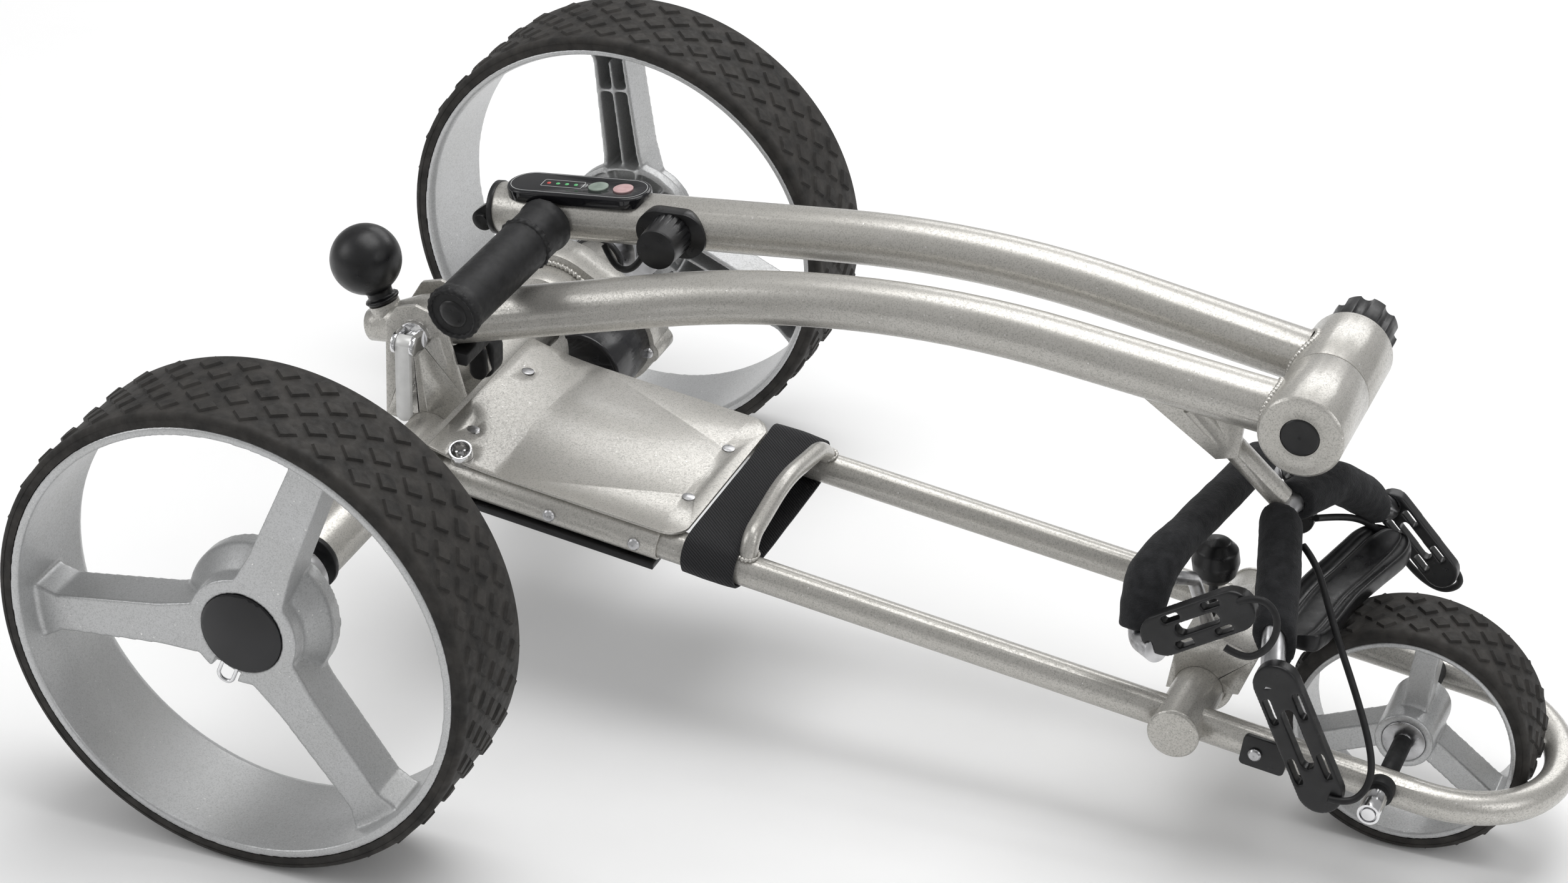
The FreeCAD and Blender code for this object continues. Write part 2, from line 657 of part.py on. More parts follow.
def make_cross_tube_caps():
    """Flat round caps in both ends of the cross tube."""
    points = [("0", "-8"), ("cross_radius - 2", "-8"), ("cross_radius - 2", "0"),
              ("cross_radius + 0.6", "0"),
              ("cross_radius + 0.6", "1.6"), ("cross_radius - 0.6", "2.6"), ("0", "2.6")]
    height = f"{cross_height()}"
    right = turned("cross_cap_right", points, ("axle_x + cross_x", "-cross_half", height),
                   Rotation(Vector(1, 0, 0), 90))
    left = turned("cross_cap_left", points, ("axle_x + cross_x", "cross_half", height))
    group("cross_tube_caps", [right, left])


def make_lower_bracket():
    """The black saddle clamped on the cross tube."""
    height = cross_height()
    x = value("cross_x")
    corners = [from_axle(x - 20, -34, height - 4), from_axle(x - 16, -34, height + 24),
               from_axle(x + 12, -34, height + 38), from_axle(x + 34, -34, height + 30),
               from_axle(x + 24, -34, height + 2)]
    saddle = Part.Face(Part.makePolygon(corners + corners[:1])).extrude(Vector(0, 68, 0))
    clamp = Part.makeCylinder(value("cross_radius") + 4, 56, from_axle(x, -28, height), Vector(0, 1, 0))
    bore = Part.makeCylinder(value("cross_radius"), 80, from_axle(x, -40, height), Vector(0, 1, 0))
    feature("lower_bracket", saddle.fuse(clamp).cut(bore).removeSplitter())


FOOT_CRADLE = [(548, -50, 157), (552, -34, 151), (557, 0, 148), (566, 32, 147), (573, 50, 150)]


def make_foot_cradle():
    """The moulded trough that the bottom of the bag stands in, arched over the front wheel."""
    route = [from_axle(*point) for point in FOOT_CRADLE]
    wide = value("cradle_width") / 2
    thick = value("cradle_gauge") / 2
    path = rounded_path(route, [60, 90, 90])
    corners = [route[0] + Vector(x, 0, z) for x, z in ((-wide, -thick), (wide, -thick), (wide, thick),
                                                       (-wide, thick))]
    trough = path.makePipeShell([Part.makePolygon(corners + corners[:1])], True, True)
    ends = [Part.makeCylinder(wide, 2 * thick, route[i] - Vector(0, 0, thick)) for i in (0, -1)]
    height = cross_height()
    neck = Part.makeBox(52, 44, 14, from_axle(value("cross_x") + 12, -24, height + 44))
    arch = Part.makeCylinder(value("front_radius") + 3.5, value("front_width") + 8,
                             from_axle(value("wheel_base"), -value("front_width") / 2 - 4,
                                       value("front_radius")),
                             Vector(0, 1, 0))
    feature("foot_cradle", trough.fuse(ends[0]).fuse(ends[1]).fuse(neck).cut(arch))


def clip_centre():
    return from_axle(546, -value("rail_offset + rail_radius") - 1.6, rail_z(546) + 1.6)


def make_rail_clip():
    """A small black plate screwed to the side of the right rail."""
    centre = clip_centre()
    plate = Part.makeBox(27, 3.2, 20, Vector(centre.x - 13.5, centre.y - 1.6, centre.z - 10))
    plate = plate.makeFillet(3, [edge for edge in plate.Edges if abs(edge.tangentAt(0).y) > 0.9])
    plate.rotate(centre, Vector(0, 1, 0), value("rail_tilt"))
    feature("rail_clip", plate)


# ---------------------------------------------------------------- lower bag support

LOWER_BAR = [(490, -127, 168), (475, -110, 163), (473, -91, 201), (492, 12, 201), (497, 62, 198),
             (500, 70, 176)]
LOWER_BENDS = [7, 16, 90, 14]


def lower_bar_route():
    return [from_axle(*point) for point in LOWER_BAR]


def make_lower_cradle_bar():
    """The bent bar of the lower bag support, with the tab that holds it to the saddle."""
    bar = swept(lower_bar_route(), LOWER_BENDS, value("bar_radius"))
    tab_foot = from_axle(492, -22, 126)
    tab = swept([from_axle(479, -88, 192), from_axle(486, -40, 165), tab_foot], 12, 4.2)
    height = cross_height()
    saddle_top = Part.makeBox(60, 70, 38.1, from_axle(value("cross_x") - 24, -35, height))
    feature("lower_cradle_bar", bar.fuse(tab).cut(saddle_top).removeSplitter())


def foam_between(route, bends, low_y, high_y):
    """A foam sleeve on a bar, kept between two planes across Y."""
    outer = swept(route, bends, value("foam_radius"))
    bore = swept(route, bends, value("bar_radius"))
    slab = Part.makeBox(1400, high_y - low_y, 400, Vector(-700, low_y, 0))
    return outer.cut(bore).common(slab)


def make_lower_foam():
    """Foam on the lower bar: a short piece on its right leg and a long one across."""
    route = lower_bar_route()
    leg = swept(route[1:3], [], value("foam_radius")).cut(swept(route[1:3], [], value("bar_radius")))
    across = swept([route[2] + (route[3] - route[2]).normalize() * 17, route[3], route[4]], [90],
                   value("across_radius"))
    core = swept(route, LOWER_BENDS, value("bar_radius"))
    tab = Part.makeCylinder(4.3, 60, from_axle(479, -88, 192),
                            from_axle(486, -40, 165) - from_axle(479, -88, 192))
    feature("lower_foam", Part.makeCompound([leg.cut(core).cut(across), across.cut(core).cut(tab)]))


def hook_plate(first, second, y, half):
    """A slotted moulded hook: a flat link with a long slot and four windows."""
    gauge = value("hook_gauge")
    plate = link_plate(first, second, half, half, y, gauge)
    along = Vector(second.x - first.x, 0, second.z - first.z)
    length = along.Length
    along.normalize()
    side = Vector(-along.z, 0, along.x)
    centre = (first + second) * 0.5
    slot_half = length * 0.22
    slot = link_plate(centre - along * slot_half, centre + along * slot_half, half * 0.3, half * 0.3, y,
                      gauge + 2)
    plate = plate.cut(slot)
    for step in (-1, 1):
        for edge in (-1, 1):
            window = Part.makeBox(length * 0.24, gauge + 2, 4.4,
                                  Vector(-length * 0.12, -gauge / 2 - 1, -2.2))
            spot = centre + along * (step * length * 0.28) + side * (edge * (half - 4.4))
            angle = math.degrees(math.atan2(-along.z, along.x))
            window.Placement = Placement(Vector(spot.x, y, spot.z), Rotation(Vector(0, 1, 0), angle))
            plate = plate.cut(window)
    return plate


LOWER_HOOKS = (((493, 179), (532, 205), -124, 13), ((497, 184), (517, 150), 78, 11))
UPPER_HOOKS = (((556, 151), (587, 87), -106, 13.5), ((571.5, 164), (605, 128), 88, 10.5))


def hooks(places):
    plates = []
    for (x1, z1), (x2, z2), y, half in places:
        plates.append(hook_plate(from_axle(x1, 0, z1), from_axle(x2, 0, z2), y, half))
    return plates


def make_lower_hooks():
    """The slotted hooks on the two ends of the lower bar."""
    bar = swept(lower_bar_route(), LOWER_BENDS, value("bar_radius"))
    foam = swept(lower_bar_route()[1:3], [], value("foam_radius") + 0.2)
    right, left = hooks(LOWER_HOOKS)
    tip = lower_bar_route()[-1]
    boss = Part.makeCylinder(5, 8, Vector(tip.x, tip.y + 4, tip.z + 2), Vector(0, 1, 0))
    feature("lower_hooks", Part.makeCompound([right.cut(bar).cut(foam), left.fuse(boss).cut(bar)]))


LOWER_BUNGEE = [(535, -130.8, 214), (546, -131, 221), (557, -131, 214), (559, -131, 200), (553, -131, 186),
                (541, -130.8, 178), (530, -130.8, 183)]


def make_lower_bungee():
    """The elastic cord looped over the lower right hook."""
    feature("lower_bungee", cord([from_axle(*point) for point in LOWER_BUNGEE]))


def make_cradle_knob():
    """The black knob on a bright stud above the saddle."""
    height = cross_height() + 31.8
    points = [("0", "0"), ("3", "0"), ("3", "26"), ("9", "26"), ("13", "31"), ("14.5", "39"), ("13", "47"),
              ("8", "52"), ("0", "54")]
    keep(turned("cradle_knob", points, ("axle_x + cross_x - 4", "-3", f"{height}"), UPRIGHT), "cradle_knob")


# ---------------------------------------------------------------- front wheel

def make_front_axle():
    """The bolt through both rails, with a bright sleeve nut at each end."""
    at = ("axle_x + wheel_base", "0", "front_radius")
    reach = "(rail_offset + rail_radius)"
    points = [("0", "-104"), ("4", "-104"), ("4", "-101"), ("5.2", "-101"), ("5.2", "-104"),
              ("6.6", "-104"),
              ("6.6", f"-{reach} - 5"), ("axle_radius", f"-{reach} - 5"), ("axle_radius", f"{reach} + 5"),
              ("6.6", f"{reach} + 5"), ("6.6", "92"), ("5", "94"), ("0", "94")]
    keep(turned("front_axle", points, at), "front_axle")


def make_axle_sleeves():
    """Black spacers between the wheel and the rails, and the black washers outside the rails."""
    pieces = []
    reach = value("rail_offset + rail_radius")
    inner = value("rail_offset - rail_radius")
    wheel = value("front_width") / 2 + 0.4
    rails = [tilt_with_rails(Part.makeCylinder(value("rail_radius"), 300,
                                               Vector(480, side * value("rail_offset"), 0),
                                               Vector(1, 0, 0))) for side in (-1, 1)]
    for side, rail in zip((-1, 1), rails):
        across = Vector(0, side, 0)
        spacer = Part.makeCylinder(5.6, inner - wheel + 5,
                                   from_axle(value("wheel_base"), side * wheel,
                                             value("front_radius")), across)
        washer = Part.makeCylinder(8.6, 8, from_axle(value("wheel_base"), side * (reach - 3),
                                                     value("front_radius")),
                                   across)
        bore = Part.makeCylinder(value("axle_radius"), 120,
                                 from_axle(value("wheel_base"), 0, value("front_radius")),
                                 across)
        for piece in (spacer, washer):
            pieces.append(piece.cut(bore).cut(rail))
    feature("axle_sleeves", Part.makeCompound(pieces))


def make_front_rim():
    """The front wheel's rim: a drum, a hub and three spokes."""
    half = value("front_width") / 2
    outer = value("front_rim_radius")
    drum = Part.makeCylinder(outer, 2 * half, Vector(0, -half, 0), Vector(0, 1, 0))
    drum = drum.cut(Part.makeCylinder(outer - 3.4, 2 * half, Vector(0, -half, 0), Vector(0, 1, 0)))
    groove = Part.makeCylinder(outer + 1, 2 * half - 10, Vector(0, -half + 5, 0), Vector(0, 1, 0))
    drum = drum.cut(groove.cut(Part.makeCylinder(outer - 1.4, 2 * half, Vector(0, -half, 0),
                                                 Vector(0, 1, 0))))
    hub = Part.makeCylinder(value("front_hub_radius"), 2 * half - 2, Vector(0, -half + 1, 0),
                            Vector(0, 1, 0))
    shape = drum.fuse(hub)
    for i in range(3):
        angle = value("front_spoke_angle") + 120 * i
        spoke = Part.makeBox(outer - 3 - 10, value("front_spoke_depth"), value("front_spoke_width"),
                             Vector(10, -value("front_spoke_depth") / 2, -value("front_spoke_width") / 2))
        spoke.rotate(Vector(0, 0, 0), Vector(0, 1, 0), -angle)
        shape = shape.fuse(spoke)
    for side in (-1, 1):
        seat = Part.makeCylinder(value("bearing_radius"), value("bearing_width") + 2,
                                 Vector(0, side * (half - 1 - value("bearing_width")), 0), Vector(0, side,
                                                                                                  0))
        shape = shape.cut(seat)
    shape = shape.cut(Part.makeCylinder(9, 2 * half, Vector(0, -half, 0), Vector(0, 1, 0)))
    shape.translate(from_axle(value("wheel_base"), 0, value("front_radius")))
    feature("front_rim", shape.removeSplitter())


def make_front_bearings():
    """A ball bearing in each side of the front hub."""
    half = "(front_width / 2 - 1)"
    points = [("axle_radius + 0.05", "0"), ("bearing_radius", "0"), ("bearing_radius", "bearing_width"),
              ("axle_radius + 0.05", "bearing_width")]
    right = turned("bearing_right", points, ("axle_x + wheel_base", f"-{half}", "front_radius"))
    left = turned("bearing_left", points, ("axle_x + wheel_base", f"{half} - bearing_width",
                                           "front_radius"))
    group("front_bearings", [right, left])


def tyre_points(inner, outer, half):
    """Half section of a solid tyre: flat sides, rounded shoulders and a flat tread."""
    wall = f"({outer} - {inner})"
    return [(f"{inner} - 1.8", f"-{half} + 6"), (f"{inner} + 0.05", f"-{half} + 4.5"),
            (f"{inner} + 0.05", f"-{half}"),
            (f"{inner} + {wall} * 0.35", f"-{half}"), (f"{inner} + {wall} * 0.68", f"-{half} + 2.4"),
            (f"{inner} + {wall} * 0.9", f"-{half} + 7.5"), (outer, f"-{half} + 17"),
            (outer, f"{half} - 17"), (f"{inner} + {wall} * 0.9", f"{half} - 7.5"),
            (f"{inner} + {wall} * 0.68", f"{half} - 2.4"), (f"{inner} + {wall} * 0.35", half),
            (f"{inner} + 0.05", half), (f"{inner} + 0.05", f"{half} - 4.5"), (f"{inner} - 1.8",
                                                                              f"{half} - 6")]


def make_front_tyre():
    half = "(front_width / 2)"
    points = tyre_points("front_rim_radius", "front_radius", half)
    points[0] = ("front_rim_radius - 1.35", f"-{half} + 6")
    points[-1] = ("front_rim_radius - 1.35", f"{half} - 6")
    keep(turned("front_tyre", points, ("axle_x + wheel_base", "0", "front_radius")), "front_tyre")


# ---------------------------------------------------------------- rear wheels

def wheel_placement(side):
    """Right wheels are drawn facing -Y. A left wheel is the same part turned half round about Z."""
    spin = value("right_spoke_angle") if side < 0 else 180 - value("left_spoke_angle")
    turn = Rotation(Vector(0, 1, 0), -spin)
    if side > 0:
        turn = Rotation(Vector(0, 0, 1), 180).multiply(turn)
    middle = side * value("track_half - rear_width / 2")
    return Placement(Vector(value("axle_x"), middle, value("rear_radius")), turn)


def rim_barrel():
    """The drum under the tyre, with a lip at each side."""
    half = value("rear_width") / 2
    radius = value("rim_radius")
    wall = value("rim_wall")
    corners = [(radius - 5.2, -half), (radius, -half), (radius, -half + 4.5), (radius - 1.8, -half + 6),
               (radius - 1.8, half - 6), (radius, half - 4.5), (radius, half), (radius - 3.1, half),
               (radius - 1.8 - wall, half - 5), (radius - 1.8 - wall, -half + 5)]
    points = [Vector(r, y, 0) for r, y in corners]
    face = Part.Face(Part.makePolygon(points + points[:1]))
    return face.revolve(Vector(0, 0, 0), Vector(0, 1, 0), 360)


def spoke_solid(angle, clearance, face_y, depth):
    """One straight-sided spoke, its outer side at face_y, wider where it meets the drum."""
    half = value("spoke_width") / 2 - clearance
    inner = value("hub_radius") - 12
    outer = value("rim_radius") - 3.5
    corners = [(inner, -half - 4), (inner + 30, -half), (outer - 16, -half * 0.86), (outer, -half - 5),
               (outer, half + 5), (outer - 16, half * 0.86), (inner + 30, half), (inner, half + 4)]
    points = [Vector(x, face_y, z) for x, z in corners]
    spoke = Part.Face(Part.makePolygon(points + points[:1])).extrude(Vector(0, depth, 0))
    spoke.rotate(Vector(0, 0, 0), Vector(0, 1, 0), -angle)
    return spoke


def rim_shape(side):
    """The rear wheel's rim, facing -Y: drum, hub and three hollow spokes, open and ribbed behind."""
    half = value("rear_width") / 2
    face_y = -half + value("hub_recess")
    hub_radius = value("hub_radius")
    across = Vector(0, 1, 0)
    hub = Part.makeCylinder(hub_radius, value("hub_depth"), Vector(0, face_y, 0), across)
    flare = Part.makeCone(hub_radius, hub_radius + 12, 14, Vector(0, face_y + 10, 0), across)
    skirt = Part.makeCylinder(hub_radius + 12, 10, Vector(0, face_y + 24, 0), across)
    shape = rim_barrel().fuse([hub, flare, skirt])
    drum_inside = Part.makeCylinder(value("rim_radius") - 2.4, 2 * half, Vector(0, -half, 0), across)
    hollows = []
    for i in range(3):
        solid = spoke_solid(120 * i, 0, face_y, value("spoke_depth")).common(drum_inside)
        shape = shape.fuse(solid)
        hollow = spoke_solid(120 * i, value("spoke_wall"), face_y + 5, value("spoke_depth"))
        ring = Part.makeCylinder(value("rim_radius") - 8, 2 * half, Vector(0, -half, 0), across)
        ring = ring.cut(Part.makeCylinder(hub_radius + 10, 2 * half, Vector(0, -half, 0), across))
        rib = Part.makeBox(120, value("spoke_depth"), 1.8, Vector(0, face_y, -0.9))
        rib.rotate(Vector(0, 0, 0), across, -120 * i)
        web = Part.makeBox(2, value("spoke_depth"), 60, Vector(98, face_y, -30))
        web.rotate(Vector(0, 0, 0), across, -120 * i)
        hollows.append(hollow.common(ring).cut(rib).cut(web))
    for hollow in hollows:
        shape = shape.cut(hollow)
    back = Part.makeCylinder(hub_radius + 8, 11, Vector(0, face_y + 26, 0), across)
    back = back.cut(Part.makeCylinder(value("hub_radius") - 12, 11, Vector(0, face_y + 26, 0), across))
    for i in range(12):
        rib = Part.makeBox(60, 11, 1.8, Vector(0, face_y + 26, -0.9))
        rib.rotate(Vector(0, 0, 0), across, 30 * i + 15)
        back = back.cut(rib)
    shape = shape.cut(back)
    cap_seat = Part.makeCylinder(value("cap_radius"), 8, Vector(0, face_y - 1, 0), across)
    bore = Part.makeCylinder(value("shaft_radius") + 0.05, 2 * half, Vector(0, -half, 0), across)
    notch = Part.makeBox(20, 9, value("notch_width"), Vector(value("cap_radius") - 3, face_y - 1,
                                                             -value("notch_width") / 2))
    notch.rotate(Vector(0, 0, 0), across, -clip_turn(side))
    return shape.cut(cap_seat).cut(bore).cut(notch).removeSplitter()


def clip_turn(side):
    """The clip's place round the hub, measured from the first spoke."""
    return value("clip_angle") - (value("right_spoke_angle") if side < 0 else value("left_spoke_angle"))


def hub_cap_shape():
    """A domed cap snapped into the hub, with a flat for the release clip behind it."""
    face_y = -value("rear_width") / 2 + value("hub_recess")
    radius = value("cap_radius") - 0.1
    dome = Part.makeCylinder(radius, 3, Vector(0, face_y - 0.4, 0), Vector(0, 1, 0))
    sphere_radius = (radius ** 2 + 3.2 ** 2) / (2 * 3.2)
    ball = Part.makeSphere(sphere_radius, Vector(0, face_y - 0.4 - 3.2 + sphere_radius, 0))
    front = Part.makeCylinder(radius, 4, Vector(0, face_y - 4.4, 0), Vector(0, 1, 0)).common(ball)
    return dome.fuse(front).removeSplitter()


def release_clip_shape(side):
    """A bent wire loop that stands out of the hub's notch."""
    face_y = -value("rear_width") / 2 + value("hub_recess")
    near = value("cap_radius") - 6
    far = value("hub_radius") + 6.5
    y = face_y + 4.9
    route = [Vector(near, y, -4.8), Vector(far, y, -4.8), Vector(far, y, 4.8), Vector(near, y, 4.8)]
    turn = Rotation(Vector(0, 1, 0), -clip_turn(side))
    return swept([turn.multVec(point) for point in route], 4.4, value("wire_radius"))


def make_rear_wheels():
    half = "(rear_width / 2)"
    for name, side in (("right", -1), ("left", 1)):
        spot = wheel_placement(side)
        for label, shape in ((f"{name}_rim", rim_shape(side)), (f"{name}_hub_cap", hub_cap_shape()),
                             (f"{name}_release_clip", release_clip_shape(side))):
            feature(label, shape).Placement = spot
        sign = "-" if side < 0 else ""
        tyre = turned(f"{name}_tyre", tyre_points("rim_radius", "rear_radius", half),
                      ("axle_x", f"{sign}(track_half - rear_width / 2)", "rear_radius"))
        keep(tyre, f"{name}_tyre")


# ---------------------------------------------------------------- main tube and what folds with it

MAIN_ROUTE = ((-48, 207.4), (268, 304.2), (524, 279.6))
HANDLE_ROUTE = ((16, 276.6), (326, 314.6), (524, 286.2))


def tube_route(corners, y):
    return [from_axle(x, y, z) for x, z in corners]


def main_direction():
    (x1, z1), (x2, z2) = MAIN_ROUTE[0], MAIN_ROUTE[1]
    return Vector(x2 - x1, 0, z2 - z1).normalize()


def hinge_cylinder(radius, y, length):
    return Part.makeCylinder(radius, length, from_axle(value("hinge_x"), y, value("hinge_z")),
                             Vector(0, 1, 0))


def hollow_tube(corners, y, bend):
    route = tube_route(corners, y)
    outer = swept(route, bend, value("tube_radius"))
    bore = swept(route, bend, value("tube_radius - tube_wall"))
    return outer.cut(bore).cut(hinge_cylinder(value("hinge_radius") - 0.5, -60, 120))


def pivot_cylinder(radius, length):
    """A cylinder on the main tube's pivot, centred between the bracket plates."""
    start = Vector(value("axle_x + pivot_x"), -value("tube_side") - length / 2, value("pivot_z"))
    return Part.makeCylinder(radius, length, start, Vector(0, 1, 0))


def make_main_tube():
    """The lower curved tube: its tapered rear end, pivot bush, strut, gusset and half of the hinge barrel."""
    side = -value("tube_side")
    radius = value("tube_radius")
    direction = main_direction()
    start = from_axle(MAIN_ROUTE[0][0], side, MAIN_ROUTE[0][1])
    tube = hollow_tube(MAIN_ROUTE, side, value("main_bend"))
    taper = Part.makeCone(value("end_radius"), radius, value("end_length"), start, direction)
    tube = tube.cut(Part.makeCylinder(radius + 1, value("end_length"), start, direction)).fuse(taper)
    boss = Part.makeCylinder(9.6, 12, ball_foot() - ball_direction() * 12, ball_direction())
    bush = pivot_cylinder(value("bolt_radius") + 3, 2 * radius)
    stud_hole = Part.makeCylinder(3.1, 60, ball_foot() - ball_direction() * 14, ball_direction())
    tube = tube.fuse(boss).fuse(bush).cut(stud_hole).cut(pivot_cylinder(value("bolt_radius") + 0.05, 80))
    frame = doc.addObject("Part::Feature", "main_tube_frame")
    frame.Shape = tube.fuse(main_strut()).fuse(main_gusset())
    keep(fuse("main_tube", [frame, hinge_barrel_right()]), "main_tube")


def main_strut():
    """The short strut that holds the upper bag support."""
    strut = swept([from_axle(474, -value("tube_side"), 272), from_axle(527, -13, 214)], [],
                  value("strut_radius"))
    tube = swept(tube_route(MAIN_ROUTE, -value("tube_side")), value("main_bend"),
                 value("tube_radius - tube_wall"))
    return strut.cut(tube).cut(swept(upper_bar_route(), UPPER_BENDS, value("bar_radius")))


def main_gusset():
    """The triangular plate between the strut and the tube."""
    y = -value("tube_side") - 2
    corners = [from_axle(430, y, 280), from_axle(505, y, 272), from_axle(503, y, 244),
               from_axle(490, y, 240)]
    plate = Part.Face(Part.makePolygon(corners + corners[:1])).extrude(Vector(0, 4, 0))
    tube = swept(tube_route(MAIN_ROUTE, -value("tube_side")), value("main_bend"),
                 value("tube_radius") - 0.5)
    return plate.cut(tube)


def hinge_barrel_right():
    """The right half of the hinge barrel, with a round recess in its face."""
    points = [("0", "8"), ("11.6", "8"), ("11.6", "0"), ("hinge_radius - 1.6", "0"),
              ("hinge_radius", "1.6"),
              ("hinge_radius", "hinge_half - hinge_gap"), ("hinge_pin + 0.05", "hinge_half - hinge_gap"),
              ("hinge_pin + 0.05", "20"), ("0", "20")]
    return turned("hinge_right", points, ("axle_x + hinge_x", "-hinge_half", "hinge_z"))


def hinge_barrel_left():
    """The left half of the hinge barrel."""
    points = [("hinge_pin + 0.05", "hinge_gap"), ("hinge_radius", "hinge_gap"),
              ("hinge_radius", "hinge_half - 1.6"),
              ("hinge_radius - 1.6", "hinge_half"), ("hinge_pin + 0.05", "hinge_half")]
    return turned("hinge_left", points, ("axle_x + hinge_x", "0", "hinge_z"))


def make_hinge_plug():
    """The domed black plug in the right face of the hinge barrel."""
    points = [("0", "7.9"), ("11.5", "7.9"), ("11.5", "0.4"), ("10.5", "-0.4"), ("0", "-1")]
    keep(turned("hinge_plug", points, ("axle_x + hinge_x", "-hinge_half", "hinge_z")), "hinge_plug")


def make_hinge_knob():
    """The lobed knob that clamps the hinge, with the bolt that is the hinge's pin."""
    y = value("hinge_half") + 0.6
    radius = value("hinge_knob_radius")
    length = value("hinge_knob_length")
    centre = from_axle(value("hinge_x"), y, value("hinge_z"))
    across = Vector(0, 1, 0)
    collar = Part.makeCylinder(radius - 5, 6, centre, across)
    head = Part.makeCylinder(radius, length - 6, centre + across * 6, across)
    for i in range(8):
        angle = math.radians(45 * i)
        spot = centre + Vector(math.cos(angle), 0, math.sin(angle)) * (radius + 2.2)
        head = head.cut(Part.makeCylinder(4.6, length, spot + across * 5, across))
    pin = Part.makeCylinder(value("hinge_pin"), value("hinge_half") + 34, centre - across * (y + 33),
                            across)
    feature("hinge_knob", collar.fuse([head, pin]).removeSplitter())


UPPER_BAR = [(553, -105, 145), (547.5, -88, 167), (539, -54, 190), (527, -12, 208), (546, 36, 204),
             (559, 60, 184),
             (570, 86, 163)]
UPPER_BENDS = [30, 60, 34, 24, 60]


def upper_bar_route():
    return [from_axle(*point) for point in UPPER_BAR]


def make_upper_cradle_bar():
    """The bent bar of the upper bag support."""
    feature("upper_cradle_bar", swept(upper_bar_route(), UPPER_BENDS, value("bar_radius")))


def make_upper_foam():
    """The foam sleeves on the two arms of the upper bag support."""
    route = upper_bar_route()
    right = foam_between(route, UPPER_BENDS, -88, -21)
    left = foam_between(route, UPPER_BENDS, -3, 66)
    strut = Part.makeCylinder(value("strut_radius") + 0.1, 80, from_axle(474, -27, 272),
                              from_axle(527, -13, 215.5) - from_axle(474, -27, 272))
    feature("upper_foam", Part.makeCompound([right.cut(strut), left.cut(strut)]))


def make_upper_hooks():
    """The slotted hooks on the two ends of the upper bar."""
    bar = swept(upper_bar_route(), UPPER_BENDS, value("bar_radius"))
    right, left = hooks(UPPER_HOOKS)
    feature("upper_hooks", Part.makeCompound([right.cut(bar), left.cut(bar)]))


UPPER_BUNGEE_NEAR = [(545, -26, 194), (555, -34, 190), (565, -44, 175), (578, -57, 155), (592, -70, 136),
                     (606, -84, 115), (613, -95, 101), (612, -104, 91), (604, -111, 85), (593, -113, 87)]
UPPER_BUNGEE_FAR = [(543, 10, 192), (551, 34, 182), (560, 58, 169), (569, 77, 151), (579, 90, 131),
                    (591, 97, 114), (604, 99, 107), (614, 98, 112), (616, 95.5, 121), (609, 94.8, 129)]


def make_upper_bungees():
    """The elastic cord of the upper support: a run to each hook."""
    feature("upper_bungee_near", cord([from_axle(*point) for point in UPPER_BUNGEE_NEAR]))
    feature("upper_bungee_far", cord([from_axle(*point) for point in UPPER_BUNGEE_FAR]))


def ball_direction():
    lean = math.radians(value("ball_lean"))
    return Vector(-math.sin(lean), 0, math.cos(lean))


def ball_foot():
    """Where the ball knob's washer sits on the main tube."""
    return from_axle(-39.6, -value("tube_side"), 225)


def make_ball_knob():
    """The round lock knob: a ball on a collar, two plated washers and a stud into the main tube."""
    foot = ball_foot()
    up = ball_direction()
    ball = Part.makeSphere(value("ball_radius"), foot + up * 29.5)
    collar = Part.makeCylinder(8, 12, foot + up * 3.6, up)
    washers = Part.makeCylinder(11, 1.7, foot + up * 2.1,
                                up).fuse(Part.makeCylinder(9.6, 1.8, foot + up * 0.3, up))
    stud = Part.makeCylinder(3, 14, foot - up * 12, up)
    feature("ball_knob", ball.fuse([collar, washers, stud]).removeSplitter())


# ---------------------------------------------------------------- handle

def make_handle_tube():
    """The upper curved tube, with the short cross tube that the grip is pushed over."""
    tube = hollow_tube(HANDLE_ROUTE, value("tube_side"), value("handle_bend"))
    foot, along = grip_axis()
    stub = Part.makeCylinder(11, value("grip_length") + 4, foot - along * 10, along)
    inside = swept(tube_route(HANDLE_ROUTE, value("tube_side")), value("handle_bend"),
                   value("tube_radius - tube_wall"))
    frame = doc.addObject("Part::Feature", "handle_tube_frame")
    frame.Shape = tube.fuse(stub.cut(inside))
    keep(fuse("handle_tube", [frame, hinge_barrel_left()]), "handle_tube")


def grip_axis():
    """The grip's inner end and the way it points: to the right and a little back."""
    sweep = math.tan(math.radians(value("grip_sweep")))
    drop = math.tan(math.radians(value("grip_drop")))
    along = Vector(-sweep, -1, -drop).normalize()
    return from_axle(value("grip_x"), value("tube_side - tube_radius"), value("grip_z")), along


def make_grip():
    """The soft grip, with a rolled edge at each end and a round cap in its outer end."""
    foot, along = grip_axis()
    radius = value("grip_radius")
    length = value("grip_length")
    body = Part.makeCylinder(radius, length, foot, along)
    for reach in (0, length - 6):
        body = body.fuse(Part.makeCylinder(radius + 1.0, 6, foot + along * reach, along))
    body = body.cut(Part.makeCylinder(11, value("grip_length") - 2, foot, along))
    tube = swept(tube_route(HANDLE_ROUTE, value("tube_side")), value("handle_bend"), value("tube_radius"))
    feature("grip", body.cut(tube).removeSplitter())


def handle_z(x):
    """Height of the handle tube's centreline on its straight rear run."""
    (x1, z1), (x2, z2) = HANDLE_ROUTE[0], HANDLE_ROUTE[1]
    return z1 + (x - x1) * (z2 - z1) / (x2 - x1)


